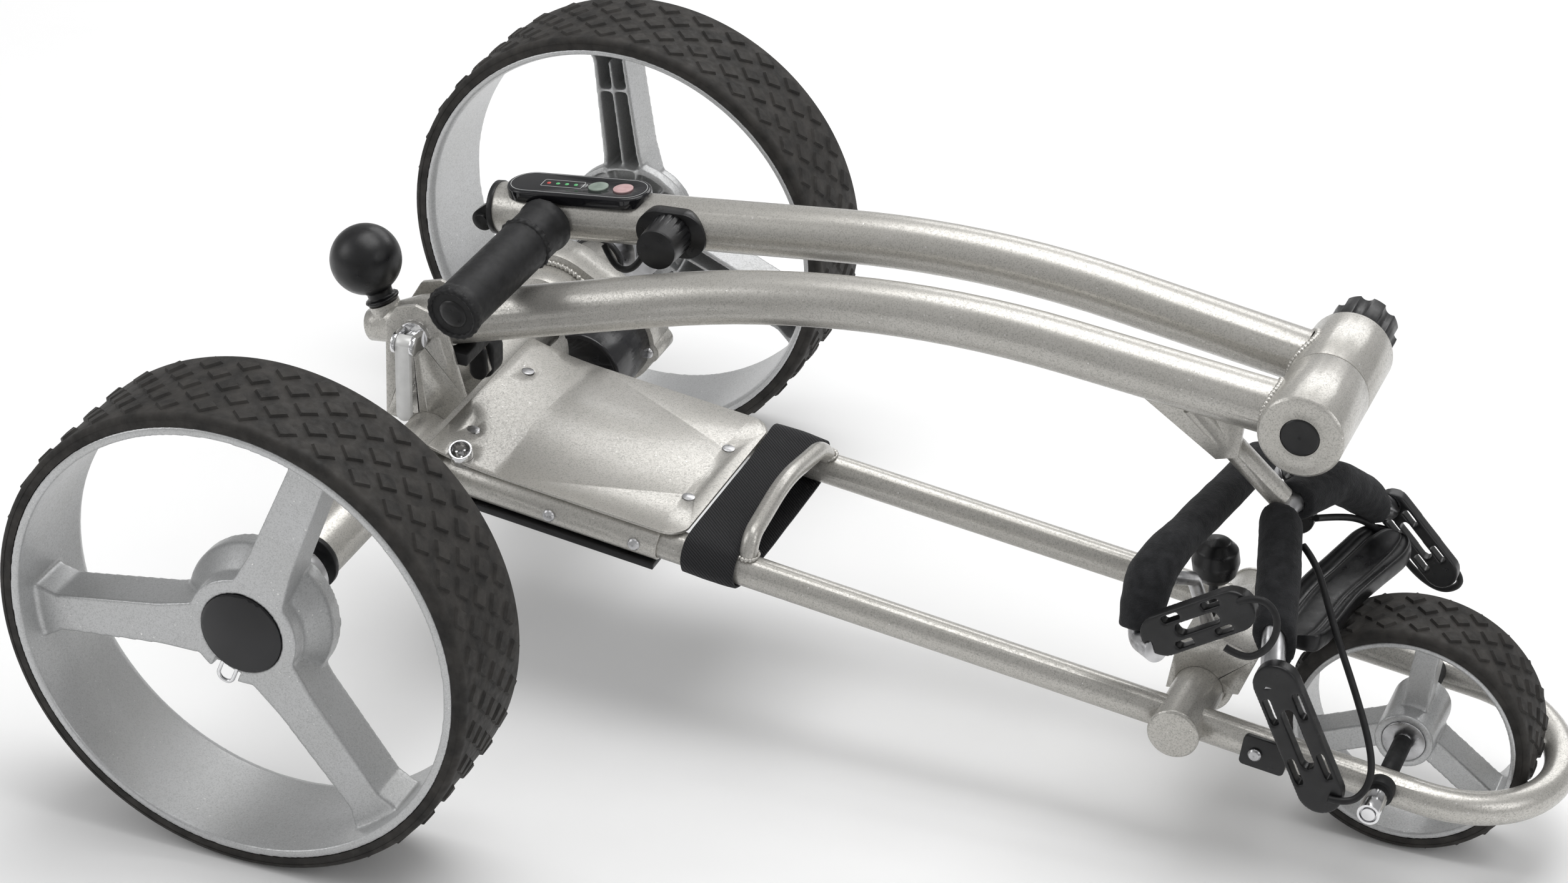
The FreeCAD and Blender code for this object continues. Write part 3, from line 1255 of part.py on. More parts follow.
def panel_frame():
    """The control panel's centre, on top of the handle tube, and its slope."""
    (x1, z1), (x2, z2) = HANDLE_ROUTE[0], HANDLE_ROUTE[1]
    slope = math.degrees(math.atan2(z2 - z1, x2 - x1))
    centre = from_axle(67.7, value("tube_side"), handle_z(67.7) + value("tube_radius") - 0.8)
    return centre, Rotation(Vector(0, 1, 0), -slope)


def on_panel(shape):
    """Move a shape drawn round the panel's centre to its place on the handle."""
    centre, turn = panel_frame()
    shape.Placement = Placement(centre, turn).multiply(shape.Placement)
    return shape


BUTTONS = {"mode_button": 13.0, "power_button": 29.5}


def make_control_panel():
    """The rounded black panel saddled on the handle tube, with two round button holes."""
    length = value("panel_length")
    half = value("panel_width") / 2
    height = value("panel_height")
    straight = length / 2 - half
    slab = Part.makeBox(2 * straight, 2 * half, height, Vector(-straight, -half, -3))
    for end in (-1, 1):
        slab = slab.fuse(Part.makeCylinder(half, height, Vector(end * straight, 0, -3)))
    slab = slab.removeSplitter()
    rims = [edge for edge in slab.Edges if edge.BoundBox.ZMin > height - 3.1]
    slab = slab.makeFillet(1.6, rims)
    for x in BUTTONS.values():
        hole = Part.makeCylinder(value("button_radius") + 0.25, 4, Vector(x, 0, height - 3 - 2.6))
        slab = slab.cut(hole)
    tube = swept(tube_route(HANDLE_ROUTE, value("tube_side")), value("handle_bend"), value("tube_radius"))
    feature("control_panel", on_panel(slab).cut(tube))


def make_buttons():
    """Two round push buttons, standing a little above the panel."""
    for label, x in BUTTONS.items():
        top = value("panel_height") - 3 + 0.5
        button = Part.makeCylinder(value("button_radius"), 1.9, Vector(x, 0, top - 1.9))
        feature(label, on_panel(button))


def make_dial_saddle():
    """The moulded base of the speed dial, shaped to the handle tube's right side."""
    x = value("dial_x")
    z = value("dial_z")
    y = value("tube_side - tube_radius")
    base = link_plate(from_axle(x - 8, 0, z - 1), from_axle(x + 8, 0, z), 14.5, 14.5, y + 3, 9)
    tube = swept(tube_route(HANDLE_ROUTE, value("tube_side")), value("handle_bend"), value("tube_radius"))
    post = Part.makeCylinder(3, 12, from_axle(x, y - 12, z), Vector(0, 1, 0))
    feature("dial_saddle", base.fuse(post).cut(tube).removeSplitter())


def make_speed_dial():
    """The ribbed speed dial."""
    x = value("dial_x")
    z = value("dial_z")
    y = value("tube_side - tube_radius") - 1.9
    across = Vector(0, -1, 0)
    radius = value("dial_radius")
    length = value("dial_length")
    centre = from_axle(x, y, z)
    dial = Part.makeCone(radius, radius - 1.2, length, centre, across)
    for i in range(18):
        angle = math.radians(20 * i)
        spot = centre + Vector(math.cos(angle), 0, math.sin(angle)) * (radius + 0.5)
        dial = dial.cut(Part.makeCylinder(1.2, length - 4, spot, across))
    bore = Part.makeCylinder(3.05, 10.6, centre, across)
    feature("speed_dial", dial.cut(bore))


DIAL_CABLE = [(122, 9, 281), (117, 9, 272), (110, 11, 262), (101, 15, 257), (92, 20, 259), (85, 25, 266)]


def make_dial_cable():
    """The dial's lead, from its base into the underside of the handle tube."""
    route = [from_axle(*point) for point in DIAL_CABLE]
    tube = swept(tube_route(HANDLE_ROUTE, value("tube_side")), value("handle_bend"), value("tube_radius"))
    x = value("dial_x")
    z = value("dial_z")
    y = value("tube_side - tube_radius")
    base = link_plate(from_axle(x - 8, 0, z - 1), from_axle(x + 8, 0, z), 14.5, 14.5, y + 3, 9)
    feature("dial_cable", cord(route).cut(tube).cut(base))


def make_handle_end_cap():
    """The black cap in the handle tube's free end, with a bolted lug beside it."""
    (x1, z1), (x2, z2) = HANDLE_ROUTE[0], HANDLE_ROUTE[1]
    along = Vector(x2 - x1, 0, z2 - z1).normalize()
    end = from_axle(x1, value("tube_side"), z1)
    rim = Part.makeCylinder(value("tube_radius") + 0.6, 3.4, end - along * 3.4, along)
    plug = Part.makeCylinder(value("tube_radius - tube_wall"), 8, end - along * 0.1, along)
    lug = link_plate(end + Vector(-4, 0, -2), end + Vector(-14, 0, -12), 6, 7, value("tube_side") + 4, 7)
    bolt = Part.makeCylinder(4.4, 12, end + Vector(-14, -2.5, -12), Vector(0, 1, 0))
    feature("handle_end_cap", rim.fuse([plug, lug, bolt]).removeSplitter())


# ---------------------------------------------------------------- build, check and write

def build():
    make_frame_rails()
    make_rail_sleeves()
    make_axle_beam()
    make_axle_shaft()
    make_axle_bushes()
    make_drive_discs()
    make_gearbox_housing()
    make_motor_housing()
    make_frame_screws()
    make_cover_plate()
    make_bottom_tray()
    make_charge_socket()
    make_battery_hoop()
    make_battery_strap()
    make_bracket_plates()
    make_pivot_bolt()
    make_cam_lever()
    make_stop_bumper()
    make_cross_tube()
    make_cross_tube_caps()
    make_lower_bracket()
    make_foot_cradle()
    make_rail_clip()
    make_lower_cradle_bar()
    make_lower_foam()
    make_lower_hooks()
    make_lower_bungee()
    make_cradle_knob()
    make_front_axle()
    make_axle_sleeves()
    make_front_rim()
    make_front_bearings()
    make_front_tyre()
    make_rear_wheels()
    make_main_tube()
    make_hinge_plug()
    make_hinge_knob()
    make_upper_cradle_bar()
    make_upper_foam()
    make_upper_hooks()
    make_upper_bungees()
    make_ball_knob()
    make_handle_tube()
    make_grip()
    make_control_panel()
    make_buttons()
    make_dial_saddle()
    make_speed_dial()
    make_dial_cable()
    make_handle_end_cap()


def check():
    faults = [item.Name for item in doc.Objects if "Invalid" in item.State or "Error" in item.State]
    for item in SUBPARTS:
        if item.Shape.isNull() or not item.Shape.isValid():
            faults.append(item.Label)
    if faults:
        raise RuntimeError(f"not built: {sorted(set(faults))}")


def write():
    os.makedirs("parts", exist_ok=True)
    for item in SUBPARTS:
        item.Shape.exportStep(f"parts/{item.Label}.step")


build()
doc.recompute()
check()
write()
print(len(SUBPARTS), "sub-parts")
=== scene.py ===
import json
import math

import bpy
from mathutils import Matrix, Vector, noise


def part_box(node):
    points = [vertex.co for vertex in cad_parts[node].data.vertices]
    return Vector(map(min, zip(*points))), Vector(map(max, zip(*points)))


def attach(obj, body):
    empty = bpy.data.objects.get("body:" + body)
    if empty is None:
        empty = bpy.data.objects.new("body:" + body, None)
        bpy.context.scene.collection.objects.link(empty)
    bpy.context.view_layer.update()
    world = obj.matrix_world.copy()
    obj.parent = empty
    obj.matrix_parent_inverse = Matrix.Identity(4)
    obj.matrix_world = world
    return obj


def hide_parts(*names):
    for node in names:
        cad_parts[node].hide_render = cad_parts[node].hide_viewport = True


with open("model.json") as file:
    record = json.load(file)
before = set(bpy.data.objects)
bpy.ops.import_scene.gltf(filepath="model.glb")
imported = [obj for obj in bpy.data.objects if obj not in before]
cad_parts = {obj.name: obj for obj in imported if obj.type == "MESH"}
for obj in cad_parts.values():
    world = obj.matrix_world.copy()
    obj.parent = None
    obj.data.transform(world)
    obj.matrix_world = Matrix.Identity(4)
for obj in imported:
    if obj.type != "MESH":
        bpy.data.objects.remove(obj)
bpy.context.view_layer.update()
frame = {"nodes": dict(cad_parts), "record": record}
NODES = frame["nodes"]
AXLE = -0.2816                  # the rear axle, along X
TILT = math.radians(6.64)       # the rails slope down towards the front


def at(x, y, z):
    """A point given in mm forward of the rear axle."""
    return Vector((x / 1000 + AXLE, y / 1000, z / 1000))


# ---------------------------------------------------------------- materials

def material(name):
    """A new node material, with its shader and its coordinates."""
    mat = bpy.data.materials.new(name)
    mat.use_nodes = True
    tree = mat.node_tree
    shader = tree.nodes["Principled BSDF"]
    coords = tree.nodes.new("ShaderNodeTexCoord")
    return mat, tree, shader, coords.outputs["Object"]


def pattern(tree, vector, kind, scale, detail=2.0):
    """One texture node, noise or cells, as a value from 0 to 1."""
    if kind == "noise":
        node = tree.nodes.new("ShaderNodeTexNoise")
        node.inputs["Detail"].default_value = detail
        out = node.outputs["Fac"]
    else:
        node = tree.nodes.new("ShaderNodeTexVoronoi")
        out = node.outputs["Distance"]
    node.inputs["Scale"].default_value = scale
    tree.links.new(vector, node.inputs["Vector"])
    return out


def ramp(tree, value, stops):
    """Colours or greys spread over a value."""
    node = tree.nodes.new("ShaderNodeValToRGB")
    while len(node.color_ramp.elements) < len(stops):
        node.color_ramp.elements.new(0.5)
    for element, (place, colour) in zip(node.color_ramp.elements, stops):
        element.position = place
        element.color = (*colour, 1) if len(colour) == 3 else (colour[0],) * 3 + (1,)
    tree.links.new(value, node.inputs["Fac"])
    return node.outputs["Color"]


def bump(tree, shader, value, strength, distance):
    """Relief on the shader's normal, on top of any relief that is there already."""
    node = tree.nodes.new("ShaderNodeBump")
    node.inputs["Strength"].default_value = strength
    node.inputs["Distance"].default_value = distance
    tree.links.new(value, node.inputs["Height"])
    if shader.inputs["Normal"].is_linked:
        tree.links.new(shader.inputs["Normal"].links[0].from_socket, node.inputs["Normal"])
    tree.links.new(node.outputs["Normal"], shader.inputs["Normal"])


def finish(name, dark, light, rough, metal=0.0, coat=0.0, grain=(), spread=60, sheen=0.0, specular=0.5):
    """A surface whose colour and roughness wander between two values, with fine relief."""
    mat, tree, shader, vector = material(name)
    broad = pattern(tree, vector, "noise", spread, 4.0)
    tree.links.new(ramp(tree, broad, [(0.32, dark), (0.68, light)]), shader.inputs["Base Color"])
    patchy = pattern(tree, vector, "noise", spread * 2.3, 5.0)
    tree.links.new(ramp(tree, patchy, [(0.3, (rough[0],)), (0.7, (rough[1],))]), shader.inputs["Roughness"])
    shader.inputs["Metallic"].default_value = metal
    shader.inputs["Coat Weight"].default_value = coat
    shader.inputs["Coat Roughness"].default_value = 0.08
    shader.inputs["Sheen Weight"].default_value = sheen
    shader.inputs["Specular IOR Level"].default_value = specular
    for kind, scale, strength, distance in grain:
        bump(tree, shader, pattern(tree, vector, kind, scale), strength, distance)
    return mat


def sparkle_paint(name, dark, light, rough, coat):
    """Metallic paint: fine flakes of differing tone in a satin base, the brightest of them near-white painted glints
    in the base colour.
    """
    mat, tree, shader, vector = material(name)
    flakes = tree.nodes.new("ShaderNodeTexVoronoi")
    flakes.inputs["Scale"].default_value = 1500
    tree.links.new(vector, flakes.inputs["Vector"])
    # Flake cells ramp from dark to light paint tone; the near-white top stop is a painted glint, not paint colour.
    flake_tone_and_painted_glint = ramp(tree, flakes.outputs["Color"], [(0.0, dark), (0.55, light), (0.93, light),
                                                 (1.0, (0.95, 0.94, 0.92))])
    broad = pattern(tree, vector, "noise", 25, 3.0)
    shade = ramp(tree, broad, [(0.3, (0.94, 0.94, 0.93)), (0.7, (1.0, 1.0, 1.0))])
    mix = tree.nodes.new("ShaderNodeMix")
    mix.data_type = "RGBA"
    mix.blend_type = "MULTIPLY"
    mix.inputs["Factor"].default_value = 1.0
    tree.links.new(flake_tone_and_painted_glint, mix.inputs["A"])
    tree.links.new(shade, mix.inputs["B"])
    tree.links.new(mix.outputs["Result"], shader.inputs["Base Color"])
    tree.links.new(ramp(tree, flakes.outputs["Color"], [(0.0, (rough + 0.08,)), (1.0, (rough - 0.1,))]),
                   shader.inputs["Roughness"])
    shader.inputs["Metallic"].default_value = 0.62
    shader.inputs["Coat Weight"].default_value = coat
    shader.inputs["Coat Roughness"].default_value = 0.12
    bump(tree, shader, pattern(tree, vector, "noise", 420), 0.10, 0.0003)
    return mat


def woven(name, dark, light):
    """Twill webbing: slanting ribs crossed by fine threads."""
    mat, tree, shader, vector = material(name)
    ribs = tree.nodes.new("ShaderNodeTexWave")
    ribs.bands_direction = "DIAGONAL"
    ribs.inputs["Scale"].default_value = 260
    ribs.inputs["Distortion"].default_value = 1.2
    tree.links.new(vector, ribs.inputs["Vector"])
    threads = tree.nodes.new("ShaderNodeTexWave")
    threads.bands_direction = "X"
    threads.inputs["Scale"].default_value = 420
    tree.links.new(vector, threads.inputs["Vector"])
    tree.links.new(ramp(tree, ribs.outputs["Fac"], [(0.2, dark), (0.9, light)]), shader.inputs["Base Color"])
    shader.inputs["Roughness"].default_value = 0.78
    shader.inputs["Sheen Weight"].default_value = 0.05
    shader.inputs["Specular IOR Level"].default_value = 0.3
    bump(tree, shader, ribs.outputs["Fac"], 0.6, 0.0005)
    bump(tree, shader, threads.outputs["Fac"], 0.35, 0.0003)
    return mat


def lamp_colour(name, colour):
    """A small indicator lamp behind tinted plastic."""
    mat, tree, shader, vector = material(name)
    tree.links.new(ramp(tree, pattern(tree, vector, "noise", 900),
                        [(0.2, tuple(0.6 * c for c in colour)), (0.8, colour)]),
                   shader.inputs["Base Color"])
    shader.inputs["Emission Color"].default_value = (*colour, 1)
    shader.inputs["Emission Strength"].default_value = 0.25
    shader.inputs["Roughness"].default_value = 0.25
    return mat


M = {
    "silver": sparkle_paint("silver_sparkle", (0.33, 0.322, 0.30), (0.53, 0.515, 0.485), 0.36, 0.30),
    "wheel": sparkle_paint("wheel_satin", (0.43, 0.435, 0.44), (0.55, 0.555, 0.56), 0.42, 0.12),
    "tyre": finish("tyre_rubber", (0.014, 0.013, 0.012), (0.036, 0.033, 0.030), (0.62, 0.85), spread=90,
                   specular=0.35,
                   grain=[("noise", 1600, 0.25, 0.0004), ("noise", 300, 0.15, 0.0006)]),
    "rubber": finish("black_rubber", (0.006, 0.006, 0.0065), (0.014, 0.014, 0.015), (0.45, 0.62),
                     spread=120, specular=0.32,
                     grain=[("noise", 1900, 0.2, 0.0003)]),
    "plastic": finish("black_moulding", (0.005, 0.005, 0.0055), (0.012, 0.012, 0.013), (0.26, 0.42),
                      spread=80, specular=0.4,
                      grain=[("noise", 2400, 0.16, 0.0003), ("noise", 160, 0.06, 0.0008)]),
    "gloss": finish("gloss_moulding", (0.006, 0.006, 0.007), (0.012, 0.012, 0.014), (0.05, 0.12), coat=0.0,
                    spread=40, specular=0.45,
                    grain=[("noise", 140, 0.03, 0.0008)]),
    "foam": finish("foam_sleeve", (0.010, 0.0104, 0.0115), (0.022, 0.0225, 0.0245), (0.8, 0.97), spread=150,
                   sheen=0.06, specular=0.25,
                   grain=[("cells", 1300, 0.5, 0.0005), ("noise", 220, 0.3, 0.0012)]),
    "chrome": finish("chrome_plate", (0.66, 0.66, 0.67), (0.82, 0.82, 0.83), (0.08, 0.2), metal=1.0,
                     spread=70,
                     grain=[("noise", 500, 0.03, 0.0003)]),
    "steel": finish("turned_steel", (0.42, 0.42, 0.43), (0.60, 0.60, 0.61), (0.25, 0.4), metal=1.0,
                    spread=110,
                    grain=[("noise", 1200, 0.1, 0.0003)]),
    "enamel": finish("motor_enamel", (0.007, 0.007, 0.008), (0.014, 0.014, 0.016), (0.16, 0.3), coat=0.0,
                     spread=60,
                     grain=[("noise", 700, 0.1, 0.0004)]),
    "lever": finish("lever_paint", (0.62, 0.62, 0.61), (0.74, 0.74, 0.73), (0.32, 0.45), metal=0.25,
                    spread=90,
                    grain=[("noise", 800, 0.08, 0.0003)]),
    "green": finish("green_button", (0.16, 0.20, 0.17), (0.24, 0.29, 0.25), (0.35, 0.5), spread=200,
                    grain=[("noise", 1500, 0.15, 0.0002)]),
    "pink": finish("pink_button", (0.42, 0.26, 0.26), (0.52, 0.35, 0.35), (0.35, 0.5), spread=200,
                   grain=[("noise", 1500, 0.15, 0.0002)]),
    "twill": woven("twill_webbing", (0.006, 0.006, 0.007), (0.026, 0.026, 0.029)),
    "light": finish("printed_line", (0.42, 0.43, 0.43), (0.52, 0.53, 0.53), (0.4, 0.5), spread=300),
    "lamp_green": lamp_colour("lamp_green", (0.10, 0.42, 0.16)),
    "lamp_red": lamp_colour("lamp_red", (0.50, 0.06, 0.05)),
    "floor": finish("pale_floor", (0.90, 0.90, 0.90), (0.93, 0.93, 0.93), (0.7, 0.85), spread=4),
}
BY_SLOT = {
    "silver_paint": "silver", "wheel_silver": "wheel", "tyre_rubber": "tyre", "black_rubber": "rubber",
    "black_plastic": "plastic", "gloss_black": "gloss", "foam": "foam", "chrome": "chrome", "steel": "steel",
    "motor_black": "enamel", "webbing": "twill", "button_green": "green", "button_pink": "pink",
    "lever_silver": "lever",
}
SLOT_OF = {part["node"]: part["material_slot"] for part in frame["record"]["subparts"]}
BODY_OF = {node: body for body, nodes in frame["record"]["behaviour"]["bodies"].items() for node in nodes}


# ---------------------------------------------------------------- CAD nodes that stay

def dress(node):
    """A CAD node's material, softened edges and smooth shading."""
    obj = NODES[node]
    obj.data.materials.clear()
    obj.data.materials.append(M[BY_SLOT[SLOT_OF[node]]])
    obj.data.polygons.foreach_set("use_smooth", [True] * len(obj.data.polygons))
    weld = obj.modifiers.new("weld", "WELD")
    weld.merge_threshold = 0.00001
    edge = obj.modifiers.new("edge", "BEVEL")
    edge.width = 0.0006
    edge.segments = 2
    edge.limit_method = "ANGLE"
    edge.angle_limit = math.radians(32)
    edge.harden_normals = True
    edge.use_clamp_overlap = True


for node in NODES:
    dress(node)
NODES["rail_clip"].data.materials[0] = M["plastic"]
NODES["gearbox_housing"].data.materials[0] = M["silver"]


# ---------------------------------------------------------------- mesh helpers

def piece(name, verts, faces, look, body, nodes=()):
    """A mesh object that rides on a body and may stand for CAD nodes."""
    mesh = bpy.data.meshes.new(name)
    mesh.from_pydata([tuple(v) for v in verts], [], faces)
    mesh.validate()
    mesh.update()
    obj = bpy.data.objects.new(name, mesh)
    bpy.context.scene.collection.objects.link(obj)
    mesh.materials.append(M[look])
    mesh.polygons.foreach_set("use_smooth", [True] * len(mesh.polygons))
    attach(obj, body)
    if nodes:
        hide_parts(*nodes)
    return obj


def curve_points(points, steps):
    """Points along a smooth line through the given ones."""
    out = []
    count = len(points)
    for i in range(count - 1):
        p0 = points[max(i - 1, 0)]
        p1 = points[i]
        p2 = points[i + 1]
        p3 = points[min(i + 2, count - 1)]
        for k in range(steps):
            t = k / steps
            out.append(0.5 * (2 * p1 + (p2 - p0) * t + (2 * p0 - 5 * p1 + 4 * p2 - p3) * t * t
                              + (3 * p1 - p0 - 3 * p2 + p3) * t ** 3))
    out.append(points[-1])
    return out


def frames(path, up):
    """Tangent, side and up at each point of a path."""
    out = []
    for i, point in enumerate(path):
        ahead = (path[min(i + 1, len(path) - 1)] - path[max(i - 1, 0)]).normalized()
        side = ahead.cross(up).normalized()
        lift = side.cross(ahead).normalized()
        up = lift
        out.append((point, ahead, side, lift))
    return out


def loft(path, up, section):
    """Sweeps a closed section along a path. section(i, n) gives its (side, lift) pairs at station i of n."""
    verts = []
    faces = []
    stations = frames(path, up)
    for i, (point, _, side, lift) in enumerate(stations):
        ring = section(i, len(stations))
        verts.extend(point + side * u + lift * v for u, v in ring)
    size = len(ring)
    for i in range(len(stations) - 1):
        for k in range(size):
            a = i * size + k
            b = i * size + (k + 1) % size
            faces.append((a, b, b + size, a + size))
    faces.append(tuple(reversed(range(size))))
    faces.append(tuple(range(len(verts) - size, len(verts))))
    return verts, faces


def soft_copy(node, name, voxel, passes, look, swell_by=0.0):
    """A CAD node's shape with moulded, rounded edges and blended corners, as its own mesh."""
    source = NODES[node]
    mesh = source.data.copy()
    mesh.materials.clear()
    mesh.materials.append(M[look])
    obj = bpy.data.objects.new(name, mesh)
    bpy.context.scene.collection.objects.link(obj)
    weld = obj.modifiers.new("weld", "WELD")
    weld.merge_threshold = 0.00001
    remesh = obj.modifiers.new("remesh", "REMESH")
    remesh.mode = "VOXEL"
    remesh.voxel_size = voxel
    remesh.use_smooth_shade = True
    smooth = obj.modifiers.new("smooth", "SMOOTH")
    smooth.factor = 0.5
    smooth.iterations = passes
    if swell_by:
        swell = obj.modifiers.new("swell", "DISPLACE")
        swell.strength = swell_by
        swell.mid_level = 0.0
    bpy.context.view_layer.update()
    graph = bpy.context.evaluated_depsgraph_get()
    done = bpy.data.meshes.new_from_object(obj.evaluated_get(graph))
    obj.modifiers.clear()
    obj.data = done
    obj.data.polygons.foreach_set("use_smooth", [True] * len(obj.data.polygons))
    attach(obj, BODY_OF[node])
    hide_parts(node)
    return obj


def lathe(profile, centre, along, segments=96):
    """Turns (radius, reach) pairs about a line."""
    along = along.normalized()
    first = along.orthogonal().normalized()
    second = along.cross(first)
    verts = []
    faces = []
    for k in range(segments):
        a = 2 * math.pi * k / segments
        out = first * math.cos(a) + second * math.sin(a)
        verts.extend(centre + out * r + along * y for r, y in profile)
    size = len(profile)
    for k in range(segments):
        n = (k + 1) % segments
        for i in range(size - 1):
            faces.append((k * size + i, k * size + i + 1, n * size + i + 1, n * size + i))
    return verts, faces


# ---------------------------------------------------------------- wheels

def tyre(node, name, radius, seat, half, rows, count, tread_half, relief):
    """A rubber tyre: plain rounded shoulders and staggered rows of raised diamonds."""
    low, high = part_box(node)
    centre = (low + high) / 2
    base = radius - relief
    edge = 0.0035
    profile = [(seat, -half), (base - edge - 0.002, -half), (base - edge, -half + 0.0003)]
    for i in range(7):
        a = math.pi / 2 * i / 6
        profile.append((base - edge + edge * math.sin(a), -half + edge - edge * math.cos(a)))
    profile += [(r, -y) for r, y in reversed(profile[:-1])] + [(seat, half), (seat, -half)]
    verts, faces = lathe(profile, centre, Vector((0, 1, 0)), 180)
    pitch = 2 * math.pi / count
    row_gap = 2 * tread_half / rows
    for row in range(rows):
        y = -tread_half + row_gap * (row + 0.5)
        for k in range(count):
            a = pitch * (k + 0.5 * (row % 2))
            start = len(verts)
            for reach, size in ((base - 0.0004, 1.0), (radius - 0.0002, 0.80)):
                for da, dy in ((-1, 0), (0, -1), (1, 0), (0, 1)):
                    angle = a + da * pitch * 0.34 * size
                    across = y + dy * row_gap * 0.62 * size
                    verts.append(centre + Vector((math.cos(angle) * reach, across, math.sin(angle) * reach)))
            verts.append(centre + Vector((math.cos(a) * radius, y, math.sin(a) * radius)))
            for i in range(4):
                j = (i + 1) % 4
                faces.append((start + j, start + i, start + 4 + i, start + 4 + j))
                faces.append((start + 4 + j, start + 4 + i, start + 8))
    obj = piece(name, verts, faces, "tyre", BODY_OF[node], [node])
    split = obj.modifiers.new("crisp", "EDGE_SPLIT")
    split.split_angle = math.radians(35)
    return obj


tyre("right_tyre", "right_tyre_tread", 0.150, 0.1402, 0.0372, 5, 38, 0.0315, 0.0018)
tyre("left_tyre", "left_tyre_tread", 0.150, 0.1402, 0.0372, 5, 38, 0.0315, 0.0018)
tyre("front_tyre", "front_tyre_tread", 0.076, 0.0667, 0.0243, 4, 24, 0.0200, 0.0018)

VOXEL = 0.0012
soft_copy("right_rim", "right_rim_cast", VOXEL, 5, "wheel")
soft_copy("left_rim", "left_rim_cast", VOXEL, 5, "wheel")
soft_copy("front_rim", "front_rim_cast", 0.0010, 4, "wheel")

# ---------------------------------------------------------------- foam, grip and mouldings

upper_sleeve = soft_copy("upper_foam", "upper_foam_sleeve", 0.0014, 7, "foam", 0.0004)
for vert in upper_sleeve.data.vertices:
    wave = noise.noise(vert.co * 55) * 0.0006 + noise.noise(vert.co * 190) * 0.00025
    vert.co += vert.normal * wave

grip_piece = soft_copy("grip", "grip_body", 0.0012, 5, "rubber")


def sleeve_tube(node, name, points, radii):
    """A foam sleeve pushed round a bent bar: full at its bends, rounded off at its ends."""
    path = curve_points([at(*point) for point in points], 12)
    count = len(path)

    def section(i, n):
        place = i / (n - 1) * (len(radii) - 1)
        low_end = min(int(place), len(radii) - 2)
        radius = radii[low_end] + (radii[low_end + 1] - radii[low_end]) * (place - low_end)
        end = min(i, n - 1 - i)
        radius *= (0.70, 0.90, 0.98, 1.0)[min(end, 3)]
        ring = []
        for k in range(36):
            a = 2 * math.pi * k / 36
            dent = noise.noise(Vector((i * 0.22, math.cos(a) * 1.4, math.sin(a) * 1.4)))
            r = radius / 1000 * (1 + 0.035 * dent)
            ring.append((r * math.cos(a), r * math.sin(a)))
        return ring

    verts, faces = loft(path, Vector((1, 0, 0.2)).normalized(), section)
    obj = piece(name, verts, faces, "foam", BODY_OF[node], [node])
    return obj


sleeve_tube("lower_foam", "lower_foam_sleeve",
            [(474.6, -107.5, 167), (473.8, -101, 181), (474.6, -92, 194), (478, -76, 200.5),
             (482, -52, 201.5),
             (487, -22, 202), (491.5, 8, 201.5), (495, 36, 200.5), (497, 54, 199)],
            [12.0, 13.2, 14.0, 12.6, 11.4, 11.2, 11.0, 11.0, 10.8])


def cradle():
    """The moulded trough: a rounded band with a raised rim, two ribs, and a big round nose at its far end."""
    points = [(549, -66, 155), (551.5, -52, 151.5), (553.5, -36, 149), (557, 2, 147), (564, 32, 147),
              (571, 54, 149),
              (578, 74, 153)]
    path = curve_points([at(*point) for point in points], 12)
    outline = []
    for u, h in ((-1.00, -1.0), (-1.00, 5.0), (-0.96, 7.0), (-0.90, 7.4), (-0.84, 6.6), (-0.80, 3.0),
                 (-0.55, 1.8),
                 (-0.50, 3.0), (-0.44, 3.0), (-0.39, 1.6), (0.0, 1.0), (0.39, 1.6), (0.44, 3.0), (0.50, 3.0),
                 (0.55, 1.8), (0.80, 3.0), (0.84, 6.6), (0.90, 7.4), (0.96, 7.0), (1.00, 5.0), (1.00, -1.0),
                 (0.96, -3.4), (0.86, -4.6), (0.4, -5.0), (0.0, -5.0), (-0.4, -5.0), (-0.86, -4.6), (-0.96,
                                                                                                     -3.4)):
        outline.append((u, h))

    def section(i, n):
        ahead = i / (n - 1)
        near = min(1.0, math.sqrt(max(0.02, 1 - (1 - min(1.0, ahead / 0.10)) ** 2)))
        far = min(1.0, math.sqrt(max(0.02, 1 - (1 - min(1.0, (1 - ahead) / 0.17)) ** 2)))
        wide = near * far
        nose = max(0.0, (ahead - 0.62) / 0.38)
        return [(u * (18.5 + 1.5 * nose) / 1000 * wide,
                 (h * (0.35 + 0.65 * wide) + 4.0 * nose * (1 - u * u)) / 1000)
                for u, h in outline]

    verts, faces = loft(path, Vector((0, 0, 1)), section)
    obj = piece("foot_cradle_moulding", verts, faces, "plastic", "chassis", ["foot_cradle"])
    round_off = obj.modifiers.new("round", "SUBSURF")
    round_off.levels = 1
    round_off.render_levels = 2


cradle()
soft_copy("lower_hooks", "lower_hook_moulding", 0.0010, 4, "plastic")
soft_copy("upper_hooks", "upper_hook_moulding", 0.0010, 4, "plastic")
soft_copy("stop_bumper", "stop_bumper_moulding", 0.0010, 6, "rubber")
soft_copy("ball_knob", "ball_knob_moulding", 0.0010, 5, "plastic")
soft_copy("cradle_knob", "cradle_knob_moulding", 0.0008, 4, "plastic")

# ---------------------------------------------------------------- cords

def cord(name, points, node):
    """A free cord: its route's points as control points of one smooth line."""
    curve = bpy.data.curves.new(name, "CURVE")
    curve.dimensions = "3D"
    spline = curve.splines.new("NURBS")
    spline.points.add(len(points) - 1)
    for control, point in zip(spline.points, points):
        control.co = (*at(*point), 1)
    spline.order_u = 3
    spline.use_endpoint_u = True
    spline.resolution_u = 12
    curve.bevel_depth = 0.0021
    curve.bevel_resolution = 5
    curve.use_fill_caps = True
    curve.materials.append(M["rubber"])
    obj = bpy.data.objects.new(name, curve)
    bpy.context.scene.collection.objects.link(obj)
    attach(obj, BODY_OF[node])
    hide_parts(node)
    return obj


